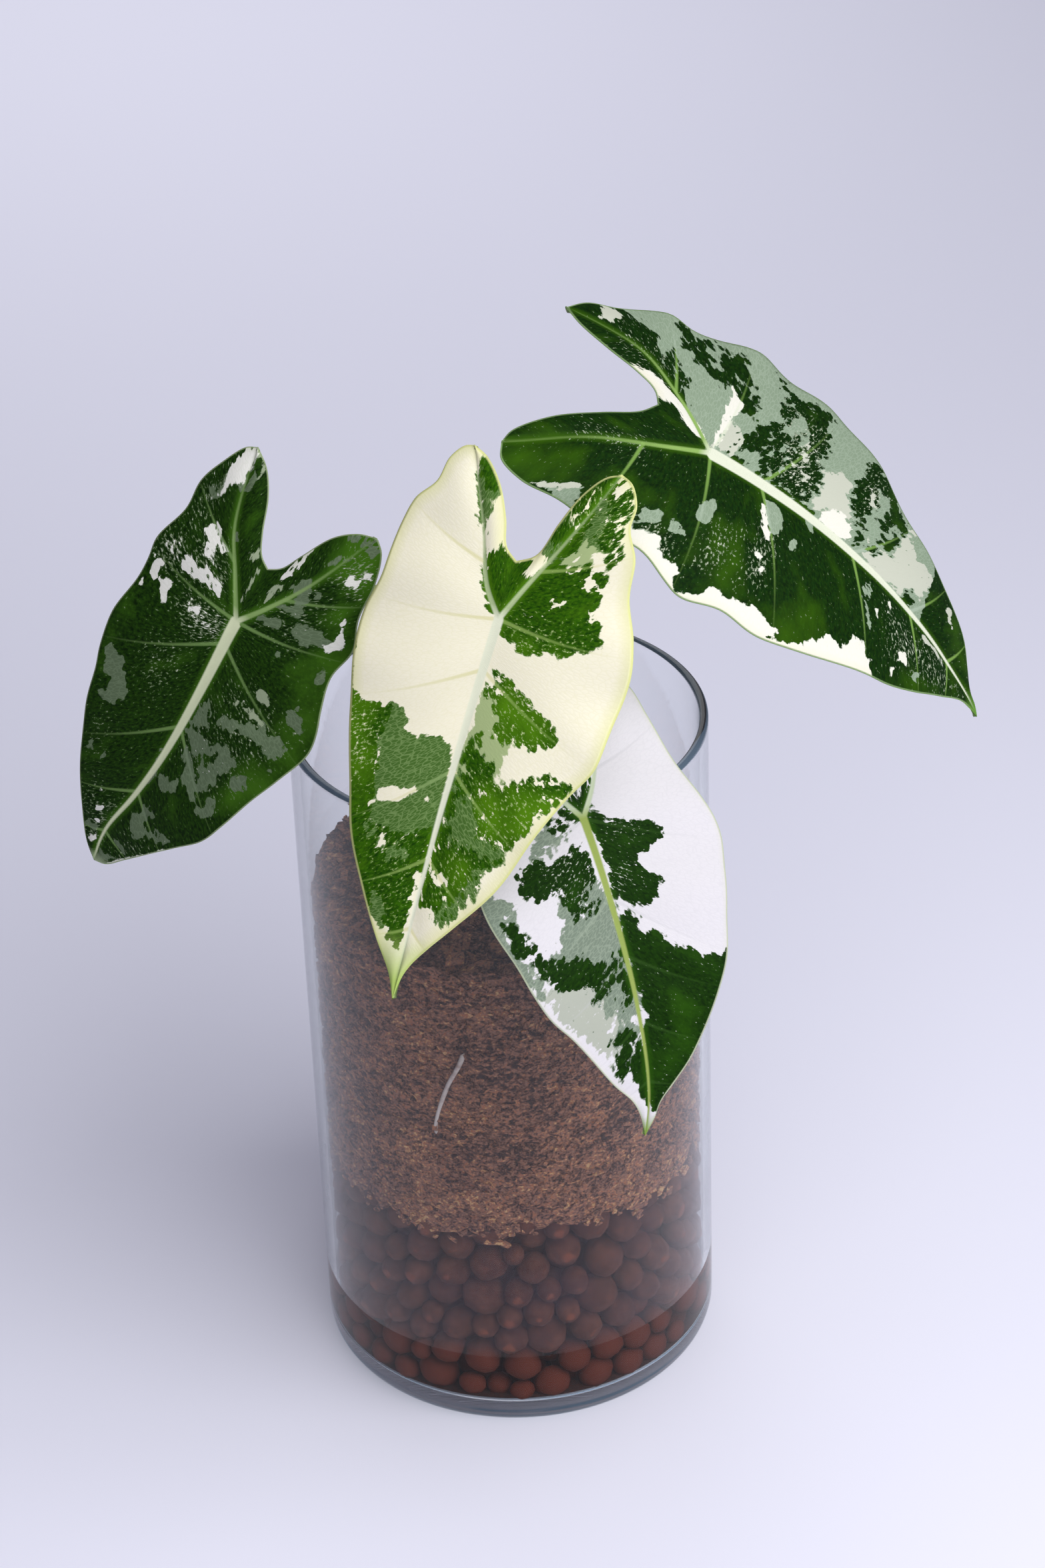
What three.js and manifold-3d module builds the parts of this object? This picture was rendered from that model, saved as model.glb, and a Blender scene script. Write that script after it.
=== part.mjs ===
// A variegated velvet-leaved alocasia growing in a clear glass cylinder.
// The vase holds a bed of fired clay pebbles with a column of bark and coir chips on it.
// The rhizome stands in the bark, and four petioles rise from it to four arrow-shaped blades.
// Millimetres, +Z up. The origin is the centre of the vase's foot, on the surface it stands on,
// and the viewer stands on the -Y side.

import * as THREE from 'three';
import { mergeVertices } from 'three/addons/utils/BufferGeometryUtils.js';
import Module from 'manifold-3d';

const wasm = await Module();
wasm.setup();

// Driving dimensions
const CLEARANCE = 0.3;

const VASE = {
  radius: 70,
  height: 250,
  wall: 3,
  base: 9,
  footRound: 9,
  innerRound: 5,
  rimRound: 0.9,
  sides: 64,
};

const PEBBLES = {
  perRow: 30,
  rows: 7,
  flatShare: 0.58,
  creviceDepth: 4.2,
  footInset: 14,
};

const BARK = {
  top: 192,
  relief: 2.4,
  sideRelief: 0.5,
  sectors: 56,
  rings: 7,
  seed: 7,
};

const RHIZOME = {
  radius: 8.6,
  bottom: 156,
  top: 203,
  scarSpacing: 6.4,
  scarDepth: 0.8,
  sides: 12,
};

const ROOT = { radius: 0.85, sides: 6, steps: 13 };

const PETIOLE = {
  baseRadius: 3.7,
  neckRadius: 2.3,
  topRadius: 1.7,
  baseCircle: 5.7,
  sides: 8,
  steps: 14,
};

const BLADE = {
  thickness: 0.9,
  midribDepth: 1.8,
  lobeVeinDepth: 1.1,
  lateralDepth: 0.5,
  quilting: 0.8,
  outerColumns: 5,
  innerColumns: 3,
  rowsBetweenVeins: 3,
  lobeRows: 6,
};

const insideRadius = VASE.radius - VASE.wall;
const fillRadius = (insideRadius - CLEARANCE) * Math.cos(Math.PI / VASE.sides);

const toRadians = THREE.MathUtils.degToRad;
const lerp = THREE.MathUtils.lerp;

// A closed solid from its corner points and triangles
function solidGeometry(points, triangles) {
  const geometry = new THREE.BufferGeometry();
  const positions = points.flatMap((p) => [p.x, p.y, p.z]);
  geometry.setAttribute('position', new THREE.Float32BufferAttribute(positions, 3));
  geometry.setIndex(triangles.flat());
  return geometry;
}

function toManifold(geometry) {
  const bare = geometry.clone();
  bare.deleteAttribute('normal');
  bare.deleteAttribute('uv');
  const merged = mergeVertices(bare, 1e-4);
  const mesh = new wasm.Mesh({
    numProp: 3,
    vertProperties: new Float32Array(merged.attributes.position.array),
    triVerts: new Uint32Array(merged.index.array),
  });
  return new wasm.Manifold(mesh);
}

function fromManifold(manifold) {
  const mesh = manifold.getMesh();
  const geometry = new THREE.BufferGeometry();
  geometry.setAttribute('position', new THREE.BufferAttribute(mesh.vertProperties, 3));
  geometry.setIndex(new THREE.BufferAttribute(mesh.triVerts, 1));
  return geometry;
}

// A profile of [radius, height] points turned round the Z axis
function turned(profile, sides) {
  const points = profile.map(([radius, height]) => new THREE.Vector2(radius, height));
  return new THREE.LatheGeometry(points, sides).rotateX(Math.PI / 2);
}

function arc(centreRadius, centreHeight, radius, fromDegrees, toDegrees, steps) {
  const points = [];
  for (let i = 0; i <= steps; i += 1) {
    const angle = toRadians(lerp(fromDegrees, toDegrees, i / steps));
    points.push([centreRadius + radius * Math.cos(angle), centreHeight + radius * Math.sin(angle)]);
  }
  return points;
}

// The vase: a drawn glass cylinder with a thick base, a rounded foot and a ground rim
function vaseGeometry() {
  const { radius, height, wall, base, footRound, innerRound, rimRound, sides } = VASE;
  const inner = radius - wall;
  return turned([
    [0, 0],
    ...arc(radius - footRound, footRound, footRound, -90, 0, 5),
    ...arc(radius - rimRound, height - rimRound, rimRound, 0, 90, 2),
    ...arc(inner + rimRound, height - rimRound, rimRound, 90, 180, 2),
    ...arc(inner - innerRound, base + innerRound, innerRound, 0, -90, 4),
    [0, base],
  ], sides);
}

// The pebble bed: one body whose skin is a honeycomb of flattened pebbles with crevices between.
// Grown by a clearance, the same shape cuts the underside of the bark that lies on it.
const pebbleBed = {
  bottom: VASE.base + CLEARANCE,
  pitch: 2 * Math.PI * fillRadius / PEBBLES.perRow,
};
pebbleBed.rowPitch = pebbleBed.pitch * Math.sqrt(3) / 2;
pebbleBed.top = pebbleBed.bottom + pebbleBed.rowPitch * (PEBBLES.rows + 1 / 3);

function pebbleGeometry(grow) {
  const { perRow, rows, flatShare, creviceDepth, footInset } = PEBBLES;
  const { bottom, rowPitch } = pebbleBed;
  const points = [];
  const triangles = [];
  const seen = new Map();

  // column counts half pebbles round the vase, level counts thirds of a row up from the bottom
  function crevice(column, level) {
    const key = `${(column + 2 * perRow) % (2 * perRow)},${level}`;
    if (!seen.has(key)) {
      const angle = Math.PI * column / perRow;
      const radius = fillRadius - creviceDepth + grow;
      const up = level > 3 * rows - 1 ? grow : 0;
      const z = bottom + rowPitch * level / 3 + up;
      seen.set(key, points.length);
      points.push(new THREE.Vector3(radius * Math.cos(angle), radius * Math.sin(angle), z));
    }
    return seen.get(key);
  }

  for (let row = 0; row < rows; row += 1) {
    for (let i = 0; i < perRow; i += 1) {
      const column = 2 * i + (row % 2);
      const level = 3 * row + 2;
      const rim = [
        crevice(column, level - 2),
        crevice(column + 1, level - 1),
        crevice(column + 1, level + 1),
        crevice(column, level + 2),
        crevice(column - 1, level + 1),
        crevice(column - 1, level - 1),
      ];
      const angle = Math.PI * column / perRow;
      const centre = new THREE.Vector3(
        fillRadius * Math.cos(angle), fillRadius * Math.sin(angle), bottom + rowPitch * level / 3);
      const face = rim.map((corner) => {
        const point = centre.clone().lerp(points[corner], flatShare);
        const flat = (fillRadius + grow) / Math.hypot(point.x, point.y);
        points.push(new THREE.Vector3(point.x * flat, point.y * flat, point.z));
        return points.length - 1;
      });
      for (let k = 0; k < 6; k += 1) {
        const next = (k + 1) % 6;
        triangles.push([rim[k], rim[next], face[next]], [rim[k], face[next], face[k]]);
      }
      for (let k = 1; k < 5; k += 1) triangles.push([face[0], face[k], face[k + 1]]);
    }
  }

  // The zigzag edges close on flat discs: the bed's foot on the glass and its top under the bark
  function closeEnd(firstLevel, secondLevel, firstColumn, height, outward) {
    const centre = points.length;
    points.push(new THREE.Vector3(0, 0, height));
    const ring = [];
    for (let i = 0; i < 2 * perRow; i += 1) {
      const angle = Math.PI * i / perRow;
      const radius = fillRadius - footInset;
      ring.push(points.length);
      points.push(new THREE.Vector3(radius * Math.cos(angle), radius * Math.sin(angle), height));
    }
    for (let i = 0; i < 2 * perRow; i += 1) {
      const next = (i + 1) % (2 * perRow);
      const level = (c) => ((c - firstColumn) % 2 === 0 ? firstLevel : secondLevel);
      const a = crevice(i, level(i));
      const b = crevice(next, level(i + 1));
      const strip = [[a, ring[i], b], [b, ring[i], ring[next]], [ring[i], centre, ring[next]]];
      triangles.push(...strip.map((t) => (outward ? t : [t[0], t[2], t[1]])));
    }
  }
  const topColumn = (rows - 1) % 2;
  closeEnd(0, 1, 0, bottom, true);
  closeEnd(3 * rows + 1, 3 * rows, topColumn, pebbleBed.top + grow, false);
  return solidGeometry(points, triangles);
}

// Smooth lumps from a few sine waves with seeded directions and phases
function lumps(seed) {
  let state = seed;
  const random = () => {
    state = (state * 16807) % 2147483647;
    return state / 2147483647;
  };
  const waves = [34, 23, 15, 11, 8.5].map((length) => ({
    turn: random() * Math.PI,
    phase: random() * 2 * Math.PI,
    k: 2 * Math.PI / length,
  }));
  return (x, y) => waves.reduce((sum, { turn, phase, k }) => (
    sum + Math.sin(k * (x * Math.cos(turn) + y * Math.sin(turn)) + phase)), 0) / 3;
}

// The bark and coir: a packed column with a lumpy top, cut to lie on the pebbles
// and holding the rhizome and the roots in plain holes
function barkGeometry(holes) {
  const { top, relief, sideRelief, sectors, rings, seed } = BARK;
  const lump = lumps(seed);
  const points = [];
  const triangles = [];
  const foot = pebbleBed.top - pebbleBed.rowPitch;
  const sideLevels = [foot, lerp(foot, top, 0.35), lerp(foot, top, 0.7)];

  const ringPoints = (radiusAt, heightAt) => {
    const first = points.length;
    for (let i = 0; i < sectors; i += 1) {
      const angle = 2 * Math.PI * i / sectors;
      const radius = radiusAt(angle);
      const x = radius * Math.cos(angle);
      const y = radius * Math.sin(angle);
      points.push(new THREE.Vector3(x, y, heightAt(x, y)));
    }
    return first;
  };
  const band = (lower, upper) => {
    for (let i = 0; i < sectors; i += 1) {
      const next = (i + 1) % sectors;
      triangles.push([lower + i, lower + next, upper + next], [lower + i, upper + next, upper + i]);
    }
  };
  const fan = (ring, centre, up) => {
    for (let i = 0; i < sectors; i += 1) {
      const next = (i + 1) % sectors;
      triangles.push(up ? [ring + i, ring + next, centre] : [ring + next, ring + i, centre]);
    }
  };

  const centreFoot = points.push(new THREE.Vector3(0, 0, foot)) - 1;
  let previous = -1;
  sideLevels.forEach((height, level) => {
    const shrink = level === 0 ? 0 : sideRelief;
    const ring = ringPoints(
      (angle) => fillRadius - shrink * (1 + Math.sin(17 * angle + 2 * level)) / 2,
      () => height);
    if (level === 0) fan(ring, centreFoot, false);
    else band(previous, ring);
    previous = ring;
  });
  for (let level = 0; level < rings; level += 1) {
    const radius = fillRadius * (1 - level / rings);
    const ring = ringPoints(() => radius, (x, y) => top + relief * lump(x, y));
    band(previous, ring);
    previous = ring;
  }
  const centreTop = points.push(new THREE.Vector3(0, 0, top + relief * lump(0, 0))) - 1;
  fan(previous, centreTop, true);

  let body = toManifold(solidGeometry(points, triangles));
  for (const hole of holes) body = body.subtract(toManifold(hole));
  return fromManifold(body);
}

// The rhizome: a short thick stem with rings where old leaves fell
function rhizomeGeometry() {
  const { radius, bottom, top, scarSpacing, scarDepth, sides } = RHIZOME;
  const profile = [[0, bottom], [radius * 0.55, bottom + 1.5]];
  const scars = Math.floor((top - bottom) / scarSpacing) - 1;
  for (let i = 0; i < scars; i += 1) {
    const z = bottom + scarSpacing * (i + 1);
    profile.push([radius, z], [radius - scarDepth, z + scarSpacing * 0.3]);
  }
  profile.push([radius, top - 1], [radius - 1, top], [0, top]);
  return turned(profile, sides);
}

function rhizomeHoleGeometry() {
  const reach = RHIZOME.radius + CLEARANCE;
  const low = RHIZOME.bottom - CLEARANCE;
  const high = RHIZOME.top + CLEARANCE;
  return turned([[0, low], [reach, low], [reach, high], [0, high]], RHIZOME.sides);
}

// A round stalk along a curve, with a radius that changes along it.
// lastPlane, where it is given, is the plane that the top end is cut along.
function stalkGeometry(curve, radiusAt, sides, steps, lastPlane) {
  const frames = curve.computeFrenetFrames(steps, false);
  const points = [];
  const triangles = [];
  for (let i = 0; i <= steps; i += 1) {
    const centre = curve.getPointAt(i / steps);
    const radius = radiusAt(i / steps);
    for (let k = 0; k < sides; k += 1) {
      const angle = 2 * Math.PI * k / sides;
      const point = centre.clone()
        .addScaledVector(frames.normals[i], radius * Math.cos(angle))
        .addScaledVector(frames.binormals[i], radius * Math.sin(angle));
      if (i === steps && lastPlane) {
        const run = -lastPlane.distanceToPoint(point) / lastPlane.normal.dot(frames.tangents[i]);
        point.addScaledVector(frames.tangents[i], run);
      }
      points.push(point);
    }
  }
  for (let i = 0; i < steps; i += 1) {
    for (let k = 0; k < sides; k += 1) {
      const a = i * sides + k;
      const b = i * sides + (k + 1) % sides;
      triangles.push([a, b, b + sides], [a, b + sides, a + sides]);
    }
  }
  for (let k = 1; k < sides - 1; k += 1) {
    const last = steps * sides;
    triangles.push([0, k + 1, k], [last, last + k, last + k + 1]);
  }
  return solidGeometry(points, triangles);
}

const smoothCurve = (list) => (
  new THREE.CatmullRomCurve3(list.map((p) => new THREE.Vector3(...p)), false, 'centripetal'));

// The roots start at the rhizome. The first runs out to the glass and down along it.
const onGlass = fillRadius - ROOT.radius - 0.3;
const ROOTS = [
  {
    name: 'root_at_glass',
    route: [
      [-1, -7, 168],
      [-6, -32, 168],
      [-12, -52, 165],
      [onGlass * Math.sin(toRadians(-14)), -onGlass * Math.cos(toRadians(-14)), 157],
      [onGlass * Math.sin(toRadians(-19)), -onGlass * Math.cos(toRadians(-19)), 144],
      [onGlass * Math.sin(toRadians(-23)), -onGlass * Math.cos(toRadians(-23)), 127],
      [-23, -54, 114],
    ],
  },
  { name: 'root_left', route: [[-7, 1, 172], [-28, 6, 166], [-44, 14, 148], [-49, 20, 122]] },
  { name: 'root_back', route: [[4, 6, 164], [18, 24, 156], [26, 40, 138], [25, 46, 108]] },
];

function rootGeometry(route, grow) {
  const radiusAt = (t) => ROOT.radius * (1 - 0.35 * t * t) + grow;
  const root = stalkGeometry(smoothCurve(route), radiusAt, ROOT.sides, ROOT.steps);
  return fromManifold(toManifold(root).subtract(toManifold(rhizomeHoleGeometry())));
}

// The blades. Each is measured flat, as [along, across] from its junction with the petiole:
// along runs to the tip along the midrib and is negative in the two back lobes.
// heading turns the midrib from straight ahead (-Y) towards +X, hang tips it down and roll turns
// it about itself. The bends are radians a metre, fold lifts both sides from the midrib, droop
// lets the margins sink, and wave is the height of the margin's waves.
// Each side lists its margin from tip to lobe end, its inner margin back to the sinus, the vein
// down the lobe, and where its lateral veins end, as distances along. They leave the midrib at
// veinRoots, in pairs, and lobeLateral is where the vein that branches in the lobe ends.
const BLADES = [
  {
    name: 'front',
    junction: [2, -76, 329],
    heading: -33.6,
    hang: 53.9,
    roll: -3,
    tipBend: 0.8,
    lobeBend: 0.8,
    fold: 0.06,
    droop: 0.15,
    wave: 1.0,
    tip: [120.5, 0],
    midrib: [[60, -0.5]],
    veinRoots: [98, 76, 48, 16, 0],
    sinus: [-18.5, 0],
    sides: [
      {
        margin: [[113, -3.5], [104, -10.5], [91, -19.5], [72, -30], [50, -37], [36, -42], [20, -45],
          [8, -46.5], [-4, -43], [-21, -42.5], [-29, -40], [-36, -34], [-44, -32.5], [-48.5, -29]],
        lobeEnd: [-49.5, -25.5],
        innerMargin: [[-47, -20], [-40, -13], [-30, -7.5], [-22, -4.5]],
        lobeVein: [[-9, -7], [-26, -14]],
        veinEnds: [103, 89, 71, 35, 3],
        lobeLateral: -28,
      },
      {
        margin: [[112, 1.7], [105, 5.5], [94, 14], [80, 24], [62, 31.5], [46, 38.5], [35, 45],
          [20, 46], [5, 47.5], [-4, 45], [-16, 39.5], [-28, 38], [-37, 33], [-44, 32.8], [-50, 29.5]],
        lobeEnd: [-52, 25.5],
        innerMargin: [[-50, 20.5], [-43, 14.5], [-33, 10], [-22, 6]],
        lobeVein: [[-12, 6], [-29, 15]],
        veinEnds: [103, 89, 67, 36, 1],
        lobeLateral: -29,
      },
    ],
  },
  {
    name: 'low',
    junction: [26, -81, 259.5],
    heading: 22.8,
    hang: 45.8,
    roll: 0,
    tipBend: 5.7,
    lobeBend: 2.4,
    fold: 0.1,
    droop: 0.12,
    wave: 0.9,
    tip: [104, -2.5],
    midrib: [[28, 0.8], [62, 1.5], [90, 0.5]],
    veinRoots: [86, 66, 45, 26, 0],
    sinus: [-15.5, 0],
    sides: [
      {
        margin: [[96, -3.5], [91, -5.5], [84, -11], [74, -17], [66, -22], [58, -28], [49, -32],
          [39, -35], [22, -41], [8, -40.5], [-4, -37], [-14, -34.5], [-27, -31], [-37, -28.5]],
        lobeEnd: [-45, -21.5],
        innerMargin: [[-42, -15.5], [-34, -9.5], [-24, -6], [-18, -3.5]],
        lobeVein: [[-9, -6], [-24, -13]],
        veinEnds: [89, 77, 62, 47, 16],
        lobeLateral: -23,
      },
      {
        margin: [[99, 1.3], [94, 4], [88.5, 9.5], [82, 16], [72, 23.5], [62, 29.5], [52, 34.5],
          [39, 37.5], [27, 40], [17, 42.3], [11, 41.8], [3, 39.2], [-10, 34.8], [-26, 31], [-38, 28.5]],
        lobeEnd: [-45, 22],
        innerMargin: [[-42, 16], [-34, 10], [-24, 6.5], [-18, 3.5]],
        lobeVein: [[-9, 6], [-24, 13]],
        veinEnds: [89, 77, 62, 52, 17],
        lobeLateral: -23,
      },
    ],
  },
  {
    name: 'left',
    junction: [-81, -37, 310],
    heading: -72.7,
    hang: 52.4,
    roll: -41,
    tipBend: 4.7,
    lobeBend: 1,
    fold: 0.08,
    droop: 0.14,
    wave: 1.0,
    tip: [106.5, -5.5],
    midrib: [[24, 2.2], [40, 2.6], [56, 1.8], [73, -1], [92, -5.5]],
    veinRoots: [92, 70, 40, 8, 0],
    sinus: [-19.8, -1],
    sides: [
      {
        margin: [[101, -10.5], [90, -16.5], [70, -25.5], [57, -30], [44, -33], [36, -36], [24, -37.5],
          [10, -36.5], [2, -37], [-5, -38], [-18, -35.5], [-28, -36.5], [-38, -33.5], [-46, -30]],
        lobeEnd: [-48.5, -26.5],
        innerMargin: [[-45, -20], [-38, -14], [-28, -9], [-22, -5]],
        lobeVein: [[-12, -9], [-24, -18]],
        veinEnds: [96, 82, 66, 33, -2],
        lobeLateral: -28,
      },
      {
        margin: [[104.5, -1], [97, 5], [86, 13.5], [78, 20], [68, 28], [58, 32], [45, 36], [32, 41],
          [20, 44.3], [12, 43.3], [4, 40.5], [-6, 37], [-17, 38], [-26, 34], [-38, 31.5], [-47, 27.5]],
        lobeEnd: [-49.8, 23.5],
        innerMargin: [[-47, 17.5], [-41, 11.3], [-30, 6], [-23, 2.8]],
        lobeVein: [[-10, 6.5], [-25, 14.5]],
        veinEnds: [96, 83, 63, 24, -12],
        lobeLateral: -30,
      },
    ],
  },
  {
    name: 'right',
    junction: [70.3, -17.3, 353],
    heading: 82.5,
    hang: 33.2,
    roll: 22.7,
    tipBend: 4.6,
    lobeBend: 3.8,
    fold: 0.02,
    droop: 0.21,
    wave: 1.1,
    tip: [137.5, 0],
    midrib: [[37, 1.5], [92, 2]],
    veinRoots: [112, 88, 58, 19, 0],
    sinus: [-21.5, 7],
    sides: [
      {
        margin: [[132, -1.5], [126, -3.5], [113, -12.7], [102, -20.6], [91, -27], [79, -32], [66, -37.5],
          [50, -45], [40, -47.7], [24, -49], [10, -52], [2, -50], [-10, -46], [-25, -46], [-40, -43.5],
          [-52, -42], [-60, -38.5]],
        lobeEnd: [-62, -33],
        innerMargin: [[-60.5, -27.5], [-51, -16.5], [-37, -6.5], [-26, 1]],
        lobeVein: [[-15, -7.5], [-36, -17]],
        veinEnds: [117, 104, 80, 44, 6],
        lobeLateral: -30,
      },
      {
        margin: [[134, 2.2], [129, 3.6], [124, 9], [118, 16], [108, 22], [90, 29.5], [78, 34], [68, 39.4],
          [58, 45.5], [49, 49.3], [39, 50.8], [21, 50.8], [7, 53.5], [0, 52.2], [-10, 49], [-20, 46],
          [-28, 47.3], [-35, 45], [-46, 38.6], [-55, 34.4]],
        lobeEnd: [-60.5, 28.5],
        innerMargin: [[-54, 24], [-43, 19.5], [-31, 15.2], [-24, 11.5]],
        lobeVein: [[-16, 14], [-35, 26]],
        veinEnds: [119, 102, 80, 40, 3],
        lobeLateral: -29,
      },
    ],
  },
];

function bladeFrame({ junction, heading, hang, roll }) {
  const [turn, down, twist] = [heading, hang, roll].map(toRadians);
  const out = new THREE.Vector3(Math.sin(turn), -Math.cos(turn), 0);
  const up = new THREE.Vector3(0, 0, 1);
  const along = out.clone().multiplyScalar(Math.cos(down)).addScaledVector(up, -Math.sin(down));
  const level = out.clone().multiplyScalar(Math.sin(down)).addScaledVector(up, Math.cos(down));
  const side = level.clone().cross(along);
  const across = side.clone().multiplyScalar(Math.cos(twist)).addScaledVector(level, Math.sin(twist));
  const face = level.clone().multiplyScalar(Math.cos(twist)).addScaledVector(side, -Math.sin(twist));
  return { origin: new THREE.Vector3(...junction), along, across, face };
}

// The point of the upper face at [a, b], raised by lift along the arched midrib's own normal
function bladePoint(blade, frame, a, b, lift) {
  const bend = (a >= 0 ? blade.tipBend : blade.lobeBend) / 1000;
  const angle = bend * a;
  const sag = blade.droop * b * b / 90;
  const waves = blade.wave * (b / 45) ** 2 * Math.sin(2 * Math.PI * a / 29 + (b > 0 ? 1 : 3.2));
  const height = blade.fold * (Math.hypot(b, 3) - 3) - sag + waves + lift;
  return frame.origin.clone()
    .addScaledVector(frame.along, Math.sin(angle) / bend + height * Math.sin(angle))
    .addScaledVector(frame.face, (Math.cos(angle) - 1) / bend + height * Math.cos(angle))
    .addScaledVector(frame.across, b);
}

function bladeNormal(blade, frame, a, b) {
  const step = 0.5;
  const alongStep = bladePoint(blade, frame, a + step, b, 0).sub(bladePoint(blade, frame, a - step, b, 0));
  const acrossStep = bladePoint(blade, frame, a, b + step, 0).sub(bladePoint(blade, frame, a, b - step, 0));
  return alongStep.cross(acrossStep).normalize();
}

const flatCurve = (list) => smoothCurve(list.map(([a, b]) => [a, b, 0]));

// How far along a margin curve it passes the given distance along the blade
function shareAt(curve, along) {
  let low = 0;
  let high = 1;
  for (let i = 0; i < 24; i += 1) {
    const middle = (low + high) / 2;
    if (curve.getPointAt(middle).x > along) low = middle;
    else high = middle;
  }
  return (low + high) / 2;
}

// Rows of points that follow the lateral veins, from spine to margin, for one side of a blade.
// Each point is { a, b, lift, rib }: lift quilts the upper face and rib thickens the underside.
function bladeRows(blade, side) {
  const { rowsBetweenVeins, lobeRows, outerColumns, innerColumns } = BLADE;
  const midrib = flatCurve([blade.tip, ...blade.midrib.toReversed(), [0, 0]]);
  const lobe = flatCurve([[0, 0], ...side.lobeVein, side.lobeEnd]);
  const margin = flatCurve([blade.tip, ...side.margin, side.lobeEnd]);
  const inner = flatCurve([side.lobeEnd, ...side.innerMargin, blade.sinus]);

  const veins = blade.veinRoots.map((root, i) => ({ root, share: shareAt(margin, side.veinEnds[i]) }));
  const stations = [{ spine: midrib.getPointAt(0), share: 0, phase: 0, rib: 0.2 }];
  let previous = { root: blade.tip[0], share: 0 };
  for (const vein of veins) {
    for (let i = 1; i <= rowsBetweenVeins; i += 1) {
      const part = i / rowsBetweenVeins;
      const root = lerp(previous.root, vein.root, part);
      stations.push({
        spine: root > 0.01 ? midrib.getPointAt(shareAt(midrib, root)) : new THREE.Vector3(),
        share: lerp(previous.share, vein.share, part),
        phase: part % 1,
        rib: lerp(BLADE.midribDepth, 0.2, root / blade.tip[0]),
      });
    }
    previous = vein;
  }
  const lobeBranch = lobeRows / 3;
  const branchShare = shareAt(margin, side.lobeLateral);
  for (let i = 1; i <= lobeRows; i += 1) {
    const before = i <= lobeBranch;
    const part = before ? i / lobeBranch : (i - lobeBranch) / (lobeRows - lobeBranch);
    stations.push({
      spine: lobe.getPointAt(i / lobeRows),
      share: before ? lerp(previous.share, branchShare, part) : lerp(branchShare, 1, part),
      phase: part % 1,
      rib: lerp(BLADE.lobeVeinDepth, 0.2, i / lobeRows),
    });
  }

  const row = (spine, edge, phase, rib, columns) => {
    const list = [];
    for (let c = 0; c <= columns; c += 1) {
      const part = c / columns;
      const lateralRib = phase === 0 ? BLADE.lateralDepth * (1 - part) : 0;
      list.push({
        a: lerp(spine.x, edge.x, part),
        b: lerp(spine.y, edge.y, part),
        lift: BLADE.quilting * Math.sin(Math.PI * phase) * Math.sin(Math.PI * part),
        rib: c === 0 ? rib : lateralRib,
      });
    }
    return list;
  };
  const outer = stations.map(({ spine, share, phase, rib }) => (
    row(spine, margin.getPointAt(share), phase, rib, outerColumns)));
  const back = [];
  for (let i = 0; i <= lobeRows; i += 1) {
    const part = i / lobeRows;
    const rib = i === 0 ? BLADE.midribDepth : lerp(BLADE.lobeVeinDepth, 0.2, part);
    back.push(row(lobe.getPointAt(part), inner.getPointAt(1 - part), 0.5, rib, innerColumns));
  }
  return { outer, back };
}

// A thin closed solid: the triangles of the upper face, the same ones below, and the edge between
function bladeGeometry(blade) {
  const frame = bladeFrame(blade);
  const grid = [];
  const seen = new Map();
  const faces = [];
  const indexOf = (point) => {
    const key = `${Math.round(100 * point.a)},${Math.round(100 * point.b)}`;
    if (!seen.has(key)) {
      seen.set(key, grid.length);
      grid.push(point);
    }
    return seen.get(key);
  };
  const addFace = (corners) => {
    const [i, j, k] = corners.map(indexOf);
    if (i !== j && j !== k && k !== i) faces.push([i, j, k]);
  };
  const addRows = (rows, flip) => {
    for (let r = 0; r + 1 < rows.length; r += 1) {
      for (let c = 0; c + 1 < rows[r].length; c += 1) {
        const quad = [rows[r][c], rows[r][c + 1], rows[r + 1][c + 1], rows[r + 1][c]];
        const halves = [[quad[0], quad[1], quad[2]], [quad[0], quad[2], quad[3]]];
        for (const half of halves) addFace(flip ? half : half.toReversed());
      }
    }
  };
  blade.sides.forEach((side, number) => {
    const { outer, back } = bladeRows(blade, side);
    addRows(outer, number === 1);
    addRows(back, number === 0);
  });

  const upper = grid.map(({ a, b, lift }) => bladePoint(blade, frame, a, b, lift));
  const lower = grid.map(({ a, b, rib }, i) => (
    upper[i].clone().addScaledVector(bladeNormal(blade, frame, a, b), -BLADE.thickness - rib)));
  const count = grid.length;
  const triangles = faces.map((face) => [...face]);
  const edges = new Map();
  for (const [i, j, k] of faces) {
    triangles.push([i + count, k + count, j + count]);
    for (const [p, q] of [[i, j], [j, k], [k, i]]) {
      if (edges.has(`${q},${p}`)) edges.delete(`${q},${p}`);
      else edges.set(`${p},${q}`, [p, q]);
    }
  }
  for (const [p, q] of edges.values()) {
    triangles.push([p, p + count, q + count], [p, q + count, q]);
  }
  return solidGeometry([...upper, ...lower], triangles);
}

// The petioles stand on top of the rhizome and rise to the underside of the blades' junctions.
// base is the compass angle of the foot, bends are the points that the stalk passes.
const PETIOLES = [
  { name: 'front', base: 270, bends: [[1, -10, 240], [2, -27, 290], [2, -52, 318]] },
  { name: 'low', base: 0, bends: [[9, -8, 228], [16, -30, 254], [22, -55, 266]] },
  { name: 'left', base: 180, bends: [[-8, 2, 235], [-20, 0, 280], [-42, -10, 306]] },
  { name: 'right', base: 90, bends: [[5, 8, 240], [14, 8, 285], [34, 0, 322]] },
];

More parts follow.
